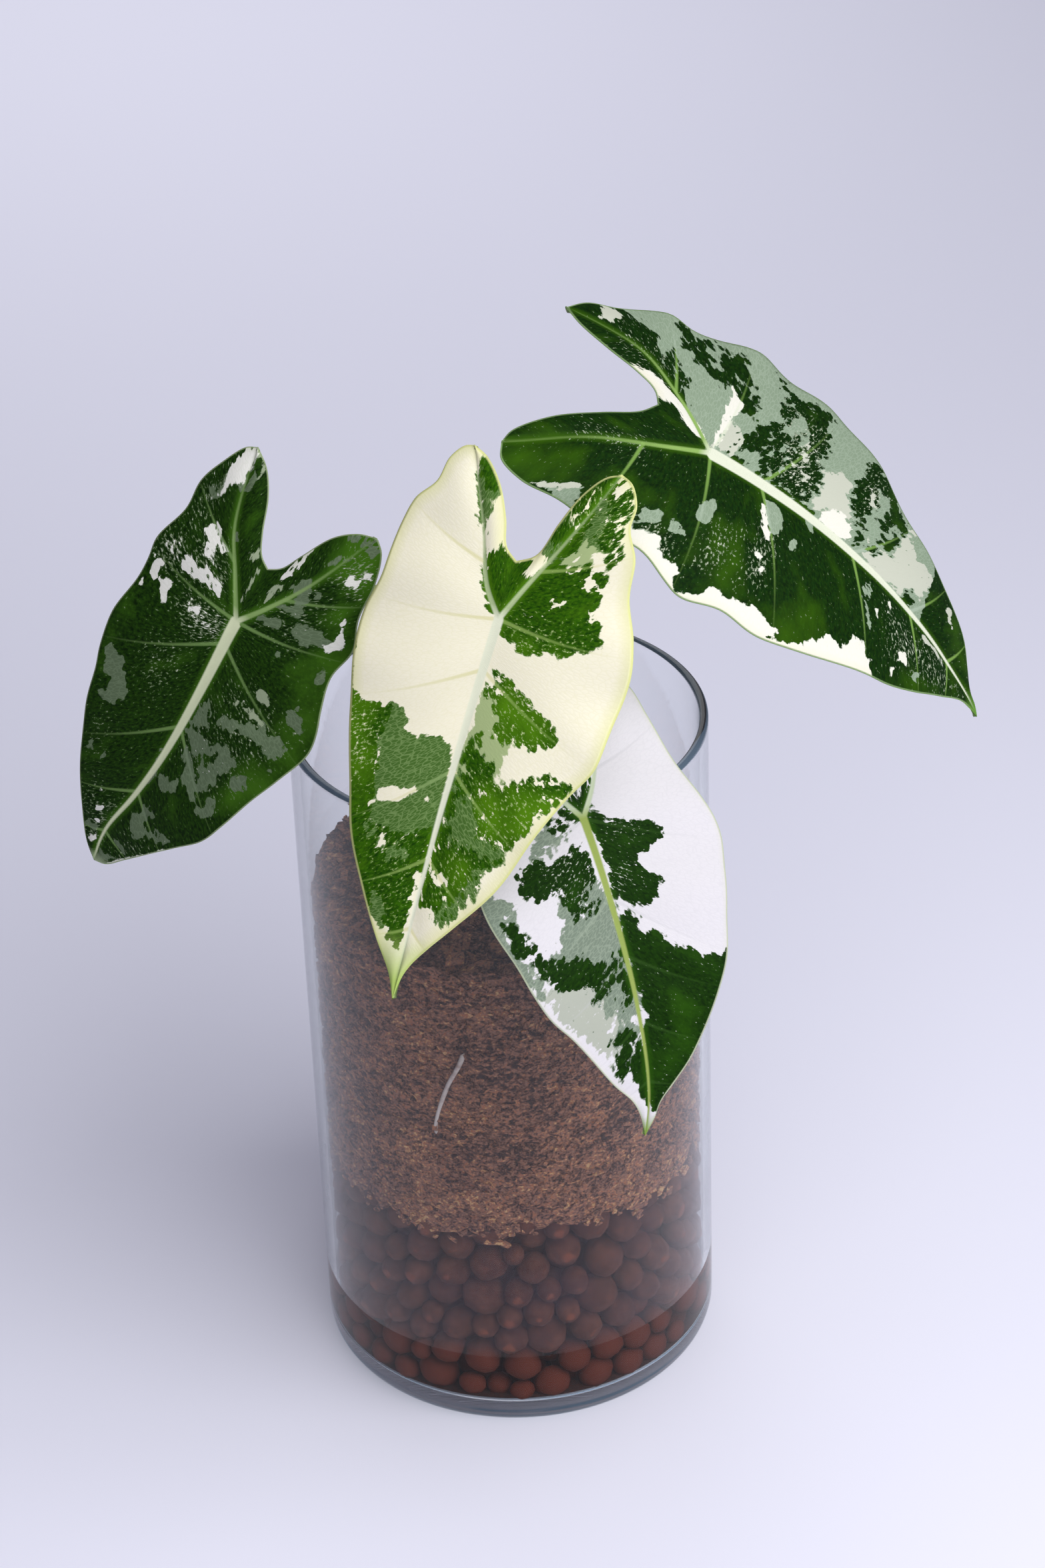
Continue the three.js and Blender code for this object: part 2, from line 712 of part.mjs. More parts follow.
function petioleGeometry({ name, base, bends }) {
  const blade = BLADES.find((one) => one.name === name);
  const frame = bladeFrame(blade);
  const face = bladeNormal(blade, frame, 0, 0);
  const seat = frame.origin.clone()
    .addScaledVector(face, -(BLADE.thickness + BLADE.midribDepth + CLEARANCE));
  const approach = seat.clone().addScaledVector(face, -7).addScaledVector(frame.along, -4);
  const angle = toRadians(base);
  const foot = new THREE.Vector3(
    PETIOLE.baseCircle * Math.cos(angle), PETIOLE.baseCircle * Math.sin(angle), RHIZOME.top + CLEARANCE);
  const route = [foot, foot.clone().add(new THREE.Vector3(0, 0, 10)),
    ...bends.map((p) => new THREE.Vector3(...p)), approach, seat];
  const curve = new THREE.CatmullRomCurve3(route, false, 'centripetal');
  const radiusAt = (t) => (t < 0.2
    ? lerp(PETIOLE.baseRadius, PETIOLE.neckRadius, t / 0.2)
    : lerp(PETIOLE.neckRadius, PETIOLE.topRadius, (t - 0.2) / 0.8));
  const seatPlane = new THREE.Plane().setFromNormalAndCoplanarPoint(face, seat);
  return stalkGeometry(curve, radiusAt, PETIOLE.sides, PETIOLE.steps, seatPlane);
}

// Materials
const finish = (color, roughness, more = {}) => (
  new THREE.MeshStandardMaterial({ color, roughness, metalness: 0, ...more }));
const glassFinish = finish(0xe6eeee, 0.04, { transparent: true, opacity: 0.3 });
const clayFinish = finish(0x9a5238, 0.85);
const barkFinish = finish(0x5d3a26, 0.95);
const rhizomeFinish = finish(0x8a6a42, 0.8);
const rootFinish = finish(0xe9ddc2, 0.6);
const petioleFinish = finish(0x8fae5c, 0.55);
const bladeFinish = finish(0x24521c, 0.5);

const group = new THREE.Group();

function addPiece(name, geometry, material) {
  const mesh = new THREE.Mesh(geometry, material.clone());
  mesh.name = name;
  group.add(mesh);
}

addPiece('glass_vase', vaseGeometry(), glassFinish);
addPiece('clay_pebbles', pebbleGeometry(0), clayFinish);
addPiece('rhizome', rhizomeGeometry(), rhizomeFinish);
for (const { name, route } of ROOTS) addPiece(name, rootGeometry(route, 0), rootFinish);
addPiece('bark_substrate', barkGeometry([
  pebbleGeometry(CLEARANCE),
  rhizomeHoleGeometry(),
  ...ROOTS.map(({ route }) => rootGeometry(route, CLEARANCE)),
]), barkFinish);
for (const petiole of PETIOLES) addPiece(`petiole_${petiole.name}`, petioleGeometry(petiole), petioleFinish);
for (const blade of BLADES) addPiece(`leaf_${blade.name}`, bladeGeometry(blade), bladeFinish);

export default group;
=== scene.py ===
# A variegated velvet-leaved alocasia growing in bark over clay pebbles in a clear glass cylinder.
# Metres, +Z up. The origin is the centre of the vase's foot, and the viewer stands on the -Y side.

import math

import bmesh
import bpy
import numpy as np
from mathutils import Euler, Matrix, Vector, noise


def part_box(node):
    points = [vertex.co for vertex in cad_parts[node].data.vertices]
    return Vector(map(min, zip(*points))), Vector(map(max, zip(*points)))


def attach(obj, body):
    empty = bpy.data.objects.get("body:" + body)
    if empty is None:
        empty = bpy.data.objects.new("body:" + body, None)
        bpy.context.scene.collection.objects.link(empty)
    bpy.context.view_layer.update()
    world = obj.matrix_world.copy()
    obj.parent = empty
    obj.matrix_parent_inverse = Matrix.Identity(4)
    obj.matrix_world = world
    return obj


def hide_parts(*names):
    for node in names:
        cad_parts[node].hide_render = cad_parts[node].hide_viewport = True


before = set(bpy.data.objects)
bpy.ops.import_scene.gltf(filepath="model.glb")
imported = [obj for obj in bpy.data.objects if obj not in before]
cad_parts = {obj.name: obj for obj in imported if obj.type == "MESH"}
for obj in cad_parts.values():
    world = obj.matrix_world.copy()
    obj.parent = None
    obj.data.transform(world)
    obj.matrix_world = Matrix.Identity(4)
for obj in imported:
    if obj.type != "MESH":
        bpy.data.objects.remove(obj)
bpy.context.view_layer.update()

# The vase
# A drawn cylinder of clear soda-lime glass with a heavy base, a rounded foot and a fire-polished rim.
# It stands free, and the moist filling has misted the inside of its wall.
MM = 0.001
vase_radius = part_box("glass_vase")[1].x
vase_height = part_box("glass_vase")[1].z
WALL = 3 * MM
BASE_THICKNESS = 9 * MM
FOOT_ROUND = 9 * MM
INNER_ROUND = 5 * MM
RIM_ROUND = 0.9 * MM
SUPPORT = 1 * MM
VASE_STEPS = 144
MERGE_DISTANCE = 0.001 * MM
CLOSE = 0.1 * MM
WATERLINE = 31 * MM
MIST_TOP = 200 * MM
inside_radius = vase_radius - WALL


def linear(colour):
    """An sRGB hex colour as linear red, green, blue and an alpha of one."""
    parts = [int(colour[i:i + 2], 16) / 255 for i in (1, 3, 5)]
    return tuple(p / 12.92 if p <= 0.04045 else ((p + 0.055) / 1.055) ** 2.4 for p in parts) + (1,)


def new_material(name):
    """A material with an empty node tree, and the tree."""
    material = bpy.data.materials.new(name)
    material.use_nodes = True
    material.node_tree.nodes.clear()
    return material, material.node_tree


def add_node(tree, kind, inputs=None, **settings):
    """Adds a node with its settings. An input given as a socket is linked, and any other is its value."""
    node = tree.nodes.new("ShaderNode" + kind)
    for name, value in settings.items():
        setattr(node, name, value)
    for name, value in (inputs or {}).items():
        if isinstance(value, bpy.types.NodeSocket):
            tree.links.new(value, node.inputs[name])
        else:
            node.inputs[name].default_value = value
    return node


def layered(tree, ground, *layers):
    """A ground colour with others laid over it in turn, each by its share from 0 to 1."""
    for share, colour in layers:
        ground, colour = (linear(tone) if isinstance(tone, str) else tone for tone in (ground, colour))
        ground = add_node(tree, "Mix", {0: share, 6: ground, 7: colour}, data_type="RGBA").outputs[2]
    return ground


def draw_half_outline(shape, corners):
    """Draws a line through (x, z) corners beside the upright axis, and gives its vertices and edges."""
    points = [shape.verts.new((x, 0, z)) for x, z in corners]
    lines = [shape.edges.new(pair) for pair in zip(points, points[1:])]
    return points, lines


def spin_outline(shape, steps):
    """Spins a half outline about the upright axis into a skin whose faces point outwards."""
    bmesh.ops.spin(
        shape, geom=shape.verts[:] + shape.edges[:], cent=(0, 0, 0), axis=(0, 0, 1),
        angle=2 * math.pi, steps=steps, use_merge=True)
    bmesh.ops.remove_doubles(shape, verts=shape.verts, dist=MERGE_DISTANCE)
    bmesh.ops.recalc_face_normals(shape, faces=shape.faces)


def new_piece(name, shape, *materials, smooth=True):
    """An object at the origin from a bmesh, with its materials."""
    mesh = bpy.data.meshes.new(name)
    shape.to_mesh(mesh)
    shape.free()
    for material in materials:
        mesh.materials.append(material)
    if smooth:
        mesh.shade_smooth()
    piece = bpy.data.objects.new(name, mesh)
    bpy.context.scene.collection.objects.link(piece)
    return piece


# Each corner of the vase's half outline with its rounding and the steps of that
vase_bm = bmesh.new()
corners = (
    (0, 0, 0, 0),
    (vase_radius - FOOT_ROUND - SUPPORT, 0, 0, 0),
    (vase_radius, 0, FOOT_ROUND, 8),
    (vase_radius, FOOT_ROUND + SUPPORT, 0, 0),
    (vase_radius, vase_height - RIM_ROUND - SUPPORT, 0, 0),
    (vase_radius, vase_height, RIM_ROUND, 3),
    (inside_radius, vase_height, RIM_ROUND, 3),
    (inside_radius, vase_height - RIM_ROUND - SUPPORT, 0, 0),
    (inside_radius, MIST_TOP, 0, 0),
    (inside_radius, WATERLINE, 0, 0),
    (inside_radius, BASE_THICKNESS + INNER_ROUND + SUPPORT, 0, 0),
    (inside_radius, BASE_THICKNESS, INNER_ROUND, 6),
    (inside_radius - INNER_ROUND - SUPPORT, BASE_THICKNESS, 0, 0),
    (0, BASE_THICKNESS, 0, 0),
)
points, lines = draw_half_outline(vase_bm, [corner[:2] for corner in corners])
for point, (x, z, rounding, steps) in zip(points, corners):
    if rounding:
        bmesh.ops.bevel(
            vase_bm, geom=[point], offset=rounding, offset_type="OFFSET",
            affect="VERTICES", segments=steps, profile=0.5, material=-1)
spin_outline(vase_bm, VASE_STEPS)
for face in vase_bm.faces:
    middle = face.calc_center_median()
    inside = math.hypot(middle.x, middle.y) < inside_radius + CLOSE
    if inside and BASE_THICKNESS - CLOSE < middle.z < MIST_TOP:
        face.material_index = 1 if middle.z > WATERLINE else 2

# Soda-lime glass, polished: clear, with a tint in its edges, blue in the base and grey in the rim, and
# with faint level streaks in the base. Its reflections on the wall are muted to what the photograph's soft
# light leaves of them. Above the waterline the inside has a thin grey film of dried droplets and dust,
# patchy and thickest low down, and below it the water touches the glass and hardly a reflection is left.
GLASS_TINT = "#FAFCFC"
GLASS_IOR = 1.5
WATER_IOR = 1.33
WALL_SHINE = "#A8A8A8"
BASE_SHINE = "#FFFFFF"
WALL_EDGE_TINT = "#5E6E7C"
BASE_EDGE_TINT = "#E6F2FF"
TRAPPED_BOUNCES = 1.5
BASE_FADE = 1 * MM
BASE_STREAKS = "#4E88AC"
STREAK_LENGTH = 50 * MM
STREAK_HEIGHT = 2.381 * MM
MIST_COLOUR = "#554858"
MIST_PATCH = 18.18 * MM
MIST_WAVE = 18 * MM
MIST_EDGE = WATERLINE - 0.4 * MIST_WAVE
MIST_LOW = (70 * MM, 0.16)
MIST_HIGH = (120 * MM, 0.04)
glasses = []
for name, ior in (
        ("polished soda-lime glass", GLASS_IOR),
        ("misted soda-lime glass", GLASS_IOR),
        ("wetted soda-lime glass", GLASS_IOR / WATER_IOR)):
    glass, tree = new_material(name)
    ray = add_node(tree, "LightPath").outputs
    place = add_node(tree, "TexCoord").outputs["Object"]
    height = add_node(tree, "SeparateXYZ", {0: place}).outputs["Z"]
    in_base = add_node(tree, "MapRange", {
        "Value": height, "From Min": BASE_THICKNESS + BASE_FADE,
        "From Max": BASE_THICKNESS - BASE_FADE}).outputs[0]
    drawn = add_node(tree, "Mapping", {
        "Vector": place, "Scale": (1 / STREAK_LENGTH, 1 / STREAK_LENGTH, 1 / STREAK_HEIGHT)}).outputs[0]
    streaks = add_node(tree, "TexNoise", {"Vector": drawn, "Scale": 1.0, "Detail": 3.0}).outputs[0]
    streaked = add_node(tree, "MapRange", {"Value": streaks, "From Min": 0.34, "From Max": 0.58}).outputs[0]
    share = add_node(tree, "Math", {0: in_base, 1: streaked}, operation="MULTIPLY").outputs[0]
    seen = add_node(tree, "BsdfPrincipled", {
        "Base Color": layered(tree, GLASS_TINT, (share, BASE_STREAKS)),
        "Roughness": 0.0, "IOR": ior, "Transmission Weight": 1.0,
        "Specular Tint": layered(tree, WALL_SHINE, (in_base, BASE_SHINE))}).outputs[0]
    if name.startswith("misted"):
        patches = add_node(tree, "TexNoise", {
            "Vector": place, "Scale": 1 / MIST_PATCH, "Detail": 5.0, "Roughness": 0.6}).outputs[0]
        edge = add_node(tree, "Math", {
            0: patches, 1: -MIST_WAVE, 2: height}, operation="MULTIPLY_ADD").outputs[0]
        amount = 1.0
        for value, low, high, bottom, top in (
                (edge, MIST_EDGE, MIST_EDGE + 3 * MM, 0, 1),
                (height, MIST_LOW[0], MIST_HIGH[0], MIST_LOW[1], MIST_HIGH[1]),
                (patches, 0.35, 0.65, 0.35, 1.35)):
            share = add_node(tree, "MapRange", {
                "Value": value, "From Min": low, "From Max": high,
                "To Min": bottom, "To Max": top}).outputs[0]
            amount = add_node(tree, "Math", {0: share, 1: amount}, operation="MULTIPLY").outputs[0]
        film = add_node(tree, "BsdfDiffuse", {"Color": linear(MIST_COLOUR)}).outputs[0]
        seen = add_node(tree, "MixShader", {0: amount, 1: seen, 2: film}).outputs[0]

    # Light that is thrown about inside the glass would come out black where the renderer gives it up, so it
    # comes out in the tint of the glass's edge. Shadows and bounced light pass the glass as if it were thin.
    edge_tint = layered(tree, WALL_EDGE_TINT, (in_base, BASE_EDGE_TINT))
    trapped = add_node(tree, "BsdfDiffuse", {"Color": edge_tint}).outputs[0]
    long_way = add_node(tree, "Math", {
        0: ray["Glossy Depth"], 1: TRAPPED_BOUNCES}, operation="GREATER_THAN").outputs[0]
    seen = add_node(tree, "MixShader", {0: long_way, 1: seen, 2: trapped}).outputs[0]
    let_through = add_node(tree, "BsdfTransparent", {"Color": linear(GLASS_TINT)}).outputs[0]
    lamp_or_bounce = add_node(tree, "Math", {
        0: ray["Is Shadow Ray"], 1: ray["Is Diffuse Ray"]}, operation="MAXIMUM").outputs[0]
    seen = add_node(tree, "MixShader", {0: lamp_or_bounce, 1: seen, 2: let_through}).outputs[0]
    add_node(tree, "OutputMaterial", {"Surface": seen})
    glasses.append(glass)

vase = new_piece("vase", vase_bm, *glasses)
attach(vase, "root")
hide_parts("glass_vase")

# The pebbles
# Balls of fired clay, 8 to 16 mm, rolled and baked in a kiln until they puff up, matte and porous.
# They are poured into the vase loose, and the lowest layers stand in a little water with their own silt,
# which is drawn dark as painted shade in the gaps under them.

# From here on sizes are plain millimetres, which a mesh gets times MM
PEBBLE_COUNT = 600
PEBBLE_RADIUS = 6.0
PEBBLE_SPREAD = 0.9
PEBBLE_LIMITS = (4.2, 8)
PEBBLE_BED_TOP = 95
PEBBLE_CORE = 34
BOTTOM_LAYER = 21
BOTTOM_SHARE = 0.08
BOTTOM_START = 6
BED_START = 4
SETTLING_STEPS = 220
PUSH_APART = 0.45
PUSH_OUT = 0.05
SINK = 0.06
NOTHING = 1e-6
GLASS_GAP = 0.4
SQUASH = (0.9, 1.05)
LUMP_SIZE = 4
LUMP_HEIGHT = 0.1
SILT_RINGS = ((62.2, 9.4), (65.6, 11.6))
SILT_STEPS = 96
BARK_FOOT = 84
BARK_FOOT_WAVE = 7
BARK_RING = 50
BARK_OVERLAP = 0.6
fill_radius = inside_radius / MM - GLASS_GAP
floor_level = BASE_THICKNESS / MM


def bark_foot_at(angle):
    """How high the bark's ragged lower edge lies on the glass, in millimetres."""
    round_the_vase = Vector((math.cos(angle), math.sin(angle), 0.3))
    return BARK_FOOT + BARK_FOOT_WAVE * noise.fractal(round_the_vase * 3.1, 0.8, 2.2, 4)


def pour(target, batch):
    """Moves what a small bmesh holds into a large one, where each operator would take longer."""
    carrier = bpy.data.meshes.new("carrier")
    batch.to_mesh(carrier)
    batch.free()
    target.from_mesh(carrier)
    bpy.data.meshes.remove(carrier)


# The pebbles start at random round the vase and settle: each step pushes those that overlap apart, keeps
# them off the glass and, above the bottom layer, in a ring that can be seen, and lets them sink
dice = np.random.default_rng(21)
size = np.clip(dice.normal(PEBBLE_RADIUS, PEBBLE_SPREAD, PEBBLE_COUNT), *PEBBLE_LIMITS)
turn = dice.uniform(0, 2 * math.pi, PEBBLE_COUNT)
ring = np.sqrt(dice.uniform(PEBBLE_CORE ** 2, fill_radius ** 2, PEBBLE_COUNT))
bottom = dice.uniform(0, 1, PEBBLE_COUNT) < BOTTOM_SHARE
ring[bottom] = np.sqrt(dice.uniform(0, PEBBLE_CORE ** 2, bottom.sum()))
scattered = dice.uniform(floor_level + BED_START, PEBBLE_BED_TOP, PEBBLE_COUNT)
level = np.where(bottom, floor_level + BOTTOM_START, scattered)
centre = np.stack([ring * np.cos(turn), ring * np.sin(turn), level], axis=1)
touching = size[:, None] + size[None]
for _ in range(SETTLING_STEPS):
    apart = centre[:, None] - centre[None]
    distance = np.sqrt((apart ** 2).sum(-1)) + NOTHING
    overlap = np.clip(touching - distance, 0, None)
    np.fill_diagonal(overlap, 0)
    centre += PUSH_APART * (apart * (overlap / distance)[..., None]).sum(1)
    reach = np.hypot(centre[:, 0], centre[:, 1]) + NOTHING
    outward = PUSH_OUT * (reach > PEBBLE_CORE)
    new_reach = np.minimum(reach + outward, fill_radius - size)
    high = centre[:, 2] > BOTTOM_LAYER
    new_reach = np.where(high, np.maximum(new_reach, PEBBLE_CORE), new_reach)
    centre[:, :2] *= (new_reach / reach)[:, None]
    centre[:, 2] = np.maximum(centre[:, 2] - SINK, floor_level + size)

pebble_bm = bmesh.new()
for middle, radius in zip(centre, size):
    bark_foot = bark_foot_at(math.atan2(middle[1], middle[0]))
    in_ring = math.hypot(middle[0], middle[1]) > BARK_RING
    if in_ring and middle[2] > bark_foot + radius * BARK_OVERLAP:
        continue
    shape = Matrix.Diagonal(Vector((*dice.uniform(*SQUASH, 3), 1)))
    spin = Euler(dice.uniform(0, 2 * math.pi, 3)).to_matrix().to_4x4()
    placing = Matrix.Translation(Vector(middle) * MM) @ spin @ shape
    ball_bm = bmesh.new()
    bmesh.ops.create_icosphere(ball_bm, subdivisions=2, radius=radius * MM, matrix=placing)
    for vertex in ball_bm.verts:
        lump = noise.noise(vertex.co / (LUMP_SIZE * MM))
        vertex.co += (vertex.co - Vector(middle) * MM) * LUMP_HEIGHT * lump
    pour(pebble_bm, ball_bm)

# A ring of silt under the lowest pebbles by the glass, dark as painted shade in the gaps between them
silt_bm = bmesh.new()
silt_rings = []
for reach, height in SILT_RINGS:
    ring = bmesh.ops.create_circle(
        silt_bm, cap_ends=True, segments=SILT_STEPS, radius=reach * MM,
        matrix=Matrix.Translation((0, 0, height * MM)))["verts"]
    silt_rings += [edge for edge in silt_bm.edges if edge.verts[0] in ring and len(edge.link_faces) == 1]
bmesh.ops.bridge_loops(silt_bm, edges=silt_rings)
bmesh.ops.recalc_face_normals(silt_bm, faces=silt_bm.faces)
for face in silt_bm.faces:
    face.material_index = 1
pour(pebble_bm, silt_bm)

# Fired clay: matte, red-brown, pitted, paler where it rubbed or dried, redder where it touches the glass
# and where it is wet. Dull things behind the glass get little shine, or they would look veiled.
CLAY_COLOUR = "#43231A"
CLAY_PALE = "#5E372A"
CLAY_CONTACT = "#6E3B29"
CLAY_WET = "#542519"
CLAY_BLOTCH = 6.25
CLAY_PIT = 0.769
DULL_SHINE = 0.08
fired_clay, tree = new_material("fired expanded clay")
place = add_node(tree, "TexCoord").outputs["Object"]
parts = add_node(tree, "SeparateXYZ", {0: place}).outputs
flat = add_node(tree, "CombineXYZ", {0: parts["X"], 1: parts["Y"]}).outputs[0]
reach = add_node(tree, "VectorMath", {0: flat}, operation="LENGTH").outputs["Value"]
blotches = add_node(tree, "TexNoise", {
    "Vector": place, "Scale": 1 / (CLAY_BLOTCH * MM), "Detail": 4.0, "Roughness": 0.65}).outputs[0]
pits = add_node(tree, "TexNoise", {
    "Vector": place, "Scale": 1 / (CLAY_PIT * MM), "Detail": 3.0, "Roughness": 0.7}).outputs[0]
colour = CLAY_COLOUR
for value, low, high, shade in (
        (blotches, 0.42, 0.7, CLAY_PALE),
        (reach, (fill_radius - 0.6) * MM, (fill_radius - 0.25) * MM, CLAY_CONTACT),
        (parts["Z"], WATERLINE + 2 * MM, WATERLINE - 1 * MM, CLAY_WET)):
    share = add_node(tree, "MapRange", {"Value": value, "From Min": low, "From Max": high}).outputs[0]
    colour = layered(tree, colour, (share, shade))
relief = add_node(tree, "Bump", {"Height": pits, "Strength": 0.3, "Distance": 0.2 * MM}).outputs[0]
body = add_node(tree, "BsdfPrincipled", {
    "Base Color": colour, "Roughness": 0.8, "Specular IOR Level": DULL_SHINE, "Normal": relief})
add_node(tree, "OutputMaterial", {"Surface": body.outputs[0]})

# Settled clay dust: the wet silt that washes off the pebbles and lies under the lowest ones. It is drawn
# dark as painted shade for the gaps between them.
SILT_AND_SHADE_COLOUR = "#2B1C1A"
SILT_GRAIN = 1.429
silt_and_shade, tree = new_material("settled clay silt and painted shade")
place = add_node(tree, "TexCoord").outputs["Object"]
grains = add_node(tree, "TexNoise", {
    "Vector": place, "Scale": 1 / (SILT_GRAIN * MM), "Detail": 4.0}).outputs[0]
share = add_node(tree, "MapRange", {"Value": grains, "From Min": 0.4, "From Max": 0.7}).outputs[0]
body = add_node(tree, "BsdfPrincipled", {
    "Base Color": layered(tree, SILT_AND_SHADE_COLOUR, (share, CLAY_COLOUR)), "Roughness": 0.7,
    "Specular IOR Level": DULL_SHINE})
add_node(tree, "OutputMaterial", {"Surface": body.outputs[0]})

pebbles = new_piece("pebbles", pebble_bm, fired_clay, silt_and_shade)
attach(pebbles, "root")
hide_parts("clay_pebbles")

# The bark
# Chips of pine bark and coconut husk, 2 to 12 mm, moist, packed round the rhizome by hand.
# They lie flat against the glass and loose on top.
BARK_TOP = 192
BARK_RELIEF = 2.4
BARK_SKIN_DEPTH = 1.2
BARK_TUCK = (14, 2)
SKIN_CUTS = (4, 60, 30)
SKIN_STEPS = 240
ROUGH_SIZE = 7
SIDE_CHIPS = 4200
SIDE_CHIP_SIZES = ((1.3, 0.9, 0.6), (4.4, 2.6, 1.5))
SIDE_CHIP_TILTS = (0.7, 0.15)
CHIP_CORNERS = (0.55, 1.05)
TOP_CHIPS = 1100
TOP_CHIP_SIZES = ((3.5, 2, 1), (10, 5, 2.6))
TOP_CHIP_TILTS = (0.3, 0.3, 3)
bark_bm = bmesh.new()
tone_layer = bark_bm.verts.layers.float.new("tone")
skin_reach = fill_radius - BARK_SKIN_DEPTH
points, lines = draw_half_outline(bark_bm, [(x * MM, z * MM) for x, z in (
    (fill_radius - BARK_TUCK[0], BARK_FOOT - BARK_TUCK[1]),
    (skin_reach, BARK_FOOT), (skin_reach, BARK_TOP), (0, BARK_TOP))])
for line, cuts in zip(lines, SKIN_CUTS):
    bmesh.ops.subdivide_edges(bark_bm, edges=[line], cuts=cuts)
spin_outline(bark_bm, SKIN_STEPS)
bmesh.ops.holes_fill(bark_bm, edges=bark_bm.edges)
bmesh.ops.recalc_face_normals(bark_bm, faces=bark_bm.faces)
for vertex in bark_bm.verts:
    vertex[tone_layer] = -1
    flat_reach = math.hypot(vertex.co.x, vertex.co.y)
    rough = noise.fractal(vertex.co / (ROUGH_SIZE * MM), 0.7, 2.1, 4)
    if vertex.co.z > BARK_TOP * MM - CLOSE:
        vertex.co.z += BARK_RELIEF * MM * rough
    elif flat_reach > (fill_radius - 2) * MM:
        share = (vertex.co.z / MM - BARK_FOOT) / (BARK_TOP - BARK_FOOT)
        foot = bark_foot_at(math.atan2(vertex.co.y, vertex.co.x))
        vertex.co.z = (foot + (BARK_TOP - foot) * share) * MM
        vertex.co.xy *= 1 + (0.7 * rough - 0.3) * MM / flat_reach
chip_dice = np.random.default_rng(5)


def add_chip(middle, turning, length, width, thickness):
    """One chip: a block with its corners knocked about and a tone of its own."""
    block = Matrix.Diagonal(Vector((length, thickness, width, 1)))
    chip_bm = bmesh.new()
    chip_tone = chip_bm.verts.layers.float.new("tone")
    bmesh.ops.create_cube(chip_bm, size=MM, matrix=Matrix.Translation(middle) @ turning @ block)
    tone = chip_dice.uniform(0, 1)
    for corner in chip_bm.verts:
        corner.co = middle + (corner.co - middle) * chip_dice.uniform(*CHIP_CORNERS)
        corner[chip_tone] = tone
    pour(bark_bm, chip_bm)


for _ in range(SIDE_CHIPS):
    angle = chip_dice.uniform(0, 2 * math.pi)
    foot = bark_foot_at(angle) - 4
    length, width, thickness = chip_dice.uniform(*SIDE_CHIP_SIZES)
    reach = fill_radius - thickness / 2 - 0.3 - chip_dice.uniform(0, 1.1) ** 2
    level = chip_dice.uniform(foot, BARK_TOP)
    middle = Vector((reach * math.cos(angle), reach * math.sin(angle), level)) * MM
    turning = Matrix.Rotation(angle + math.pi / 2, 4, "Z")
    for axis, tilt in zip("YX", SIDE_CHIP_TILTS):
        turning = turning @ Matrix.Rotation(chip_dice.normal(0, tilt), 4, axis)
    add_chip(middle, turning, length, width, thickness)
lying = Matrix.Rotation(math.pi / 2, 4, "X")
for _ in range(TOP_CHIPS):
    angle = chip_dice.uniform(0, 2 * math.pi)
    reach = (fill_radius - 5) * math.sqrt(chip_dice.uniform(0, 1))
    length, width, thickness = chip_dice.uniform(*TOP_CHIP_SIZES)
    level = BARK_TOP + chip_dice.uniform(-0.5, 2.6)
    middle = Vector((reach * math.cos(angle), reach * math.sin(angle), level)) * MM
    turning = Euler(chip_dice.normal((0, 0, 0), TOP_CHIP_TILTS)).to_matrix().to_4x4()
    add_chip(middle, turning @ lying, length, width, thickness)

# Bark and coir: matte and fibrous. Each chip has a tone, from dark moist bark over red-brown to straw, and
# the small stuff between the chips is drawn as flat cells under fibres and a finer grain. It is paler at
# its dry ragged foot.
BARK_DARK = "#352622"
BARK_BROWN = "#724A3A"
BARK_PALE = "#967260"
BARK_RUST = "#94492A"
BARK_STRAW = "#C39C70"
CELL_LONG = 2.6
CELL_HIGH = 1.4
SWIRL_SIZE = 3.846
SWIRL_REACH = 3
FIBRE_SIZE = 1.613
GRAIN_SIZE = 1
PATCH_SIZE = 15.38
DRY_HEIGHT = 34
bark_finish, tree = new_material("moist bark and coir")
place = add_node(tree, "TexCoord").outputs["Object"]
tone = add_node(tree, "Attribute", attribute_name="tone").outputs["Fac"]
swirl = add_node(tree, "TexNoise", {
    "Vector": place, "Scale": 1 / (SWIRL_SIZE * MM), "Detail": 2.0}).outputs["Color"]
swirl = add_node(tree, "VectorMath", {0: swirl, 1: (0.5, 0.5, 0.5)}, operation="SUBTRACT").outputs[0]
swirled = add_node(tree, "VectorMath", {
    0: swirl, 1: [SWIRL_REACH * MM] * 3, 2: place}, operation="MULTIPLY_ADD").outputs[0]
flattened = add_node(tree, "Mapping", {
    "Vector": swirled, "Scale": [1 / (cell * MM) for cell in (CELL_LONG, CELL_LONG, CELL_HIGH)]}).outputs[0]
cells = add_node(tree, "TexVoronoi", {"Vector": flattened, "Scale": 1.0})
cell_tone = add_node(tree, "SeparateColor", {0: cells.outputs["Color"]}).outputs[0]
is_chip = add_node(tree, "MapRange", {"Value": tone, "From Min": -0.6, "From Max": -0.4}).outputs[0]
own_tone = add_node(tree, "Mix", {0: is_chip, 2: cell_tone, 3: tone}).outputs[0]
fibre_place = add_node(tree, "Mapping", {"Vector": swirled, "Scale": (1, 1, 1.7)}).outputs[0]
height = add_node(tree, "SeparateXYZ", {0: place}).outputs["Z"]
drier = add_node(tree, "MapRange", {
    "Value": height, "From Min": (BARK_FOOT + DRY_HEIGHT) * MM, "From Max": BARK_FOOT * MM,
    "To Min": 0.16, "To Max": 0.34}).outputs[0]
mixed_tone = add_node(tree, "Math", {0: own_tone, 1: 0.6, 2: drier}, operation="MULTIPLY_ADD").outputs[0]
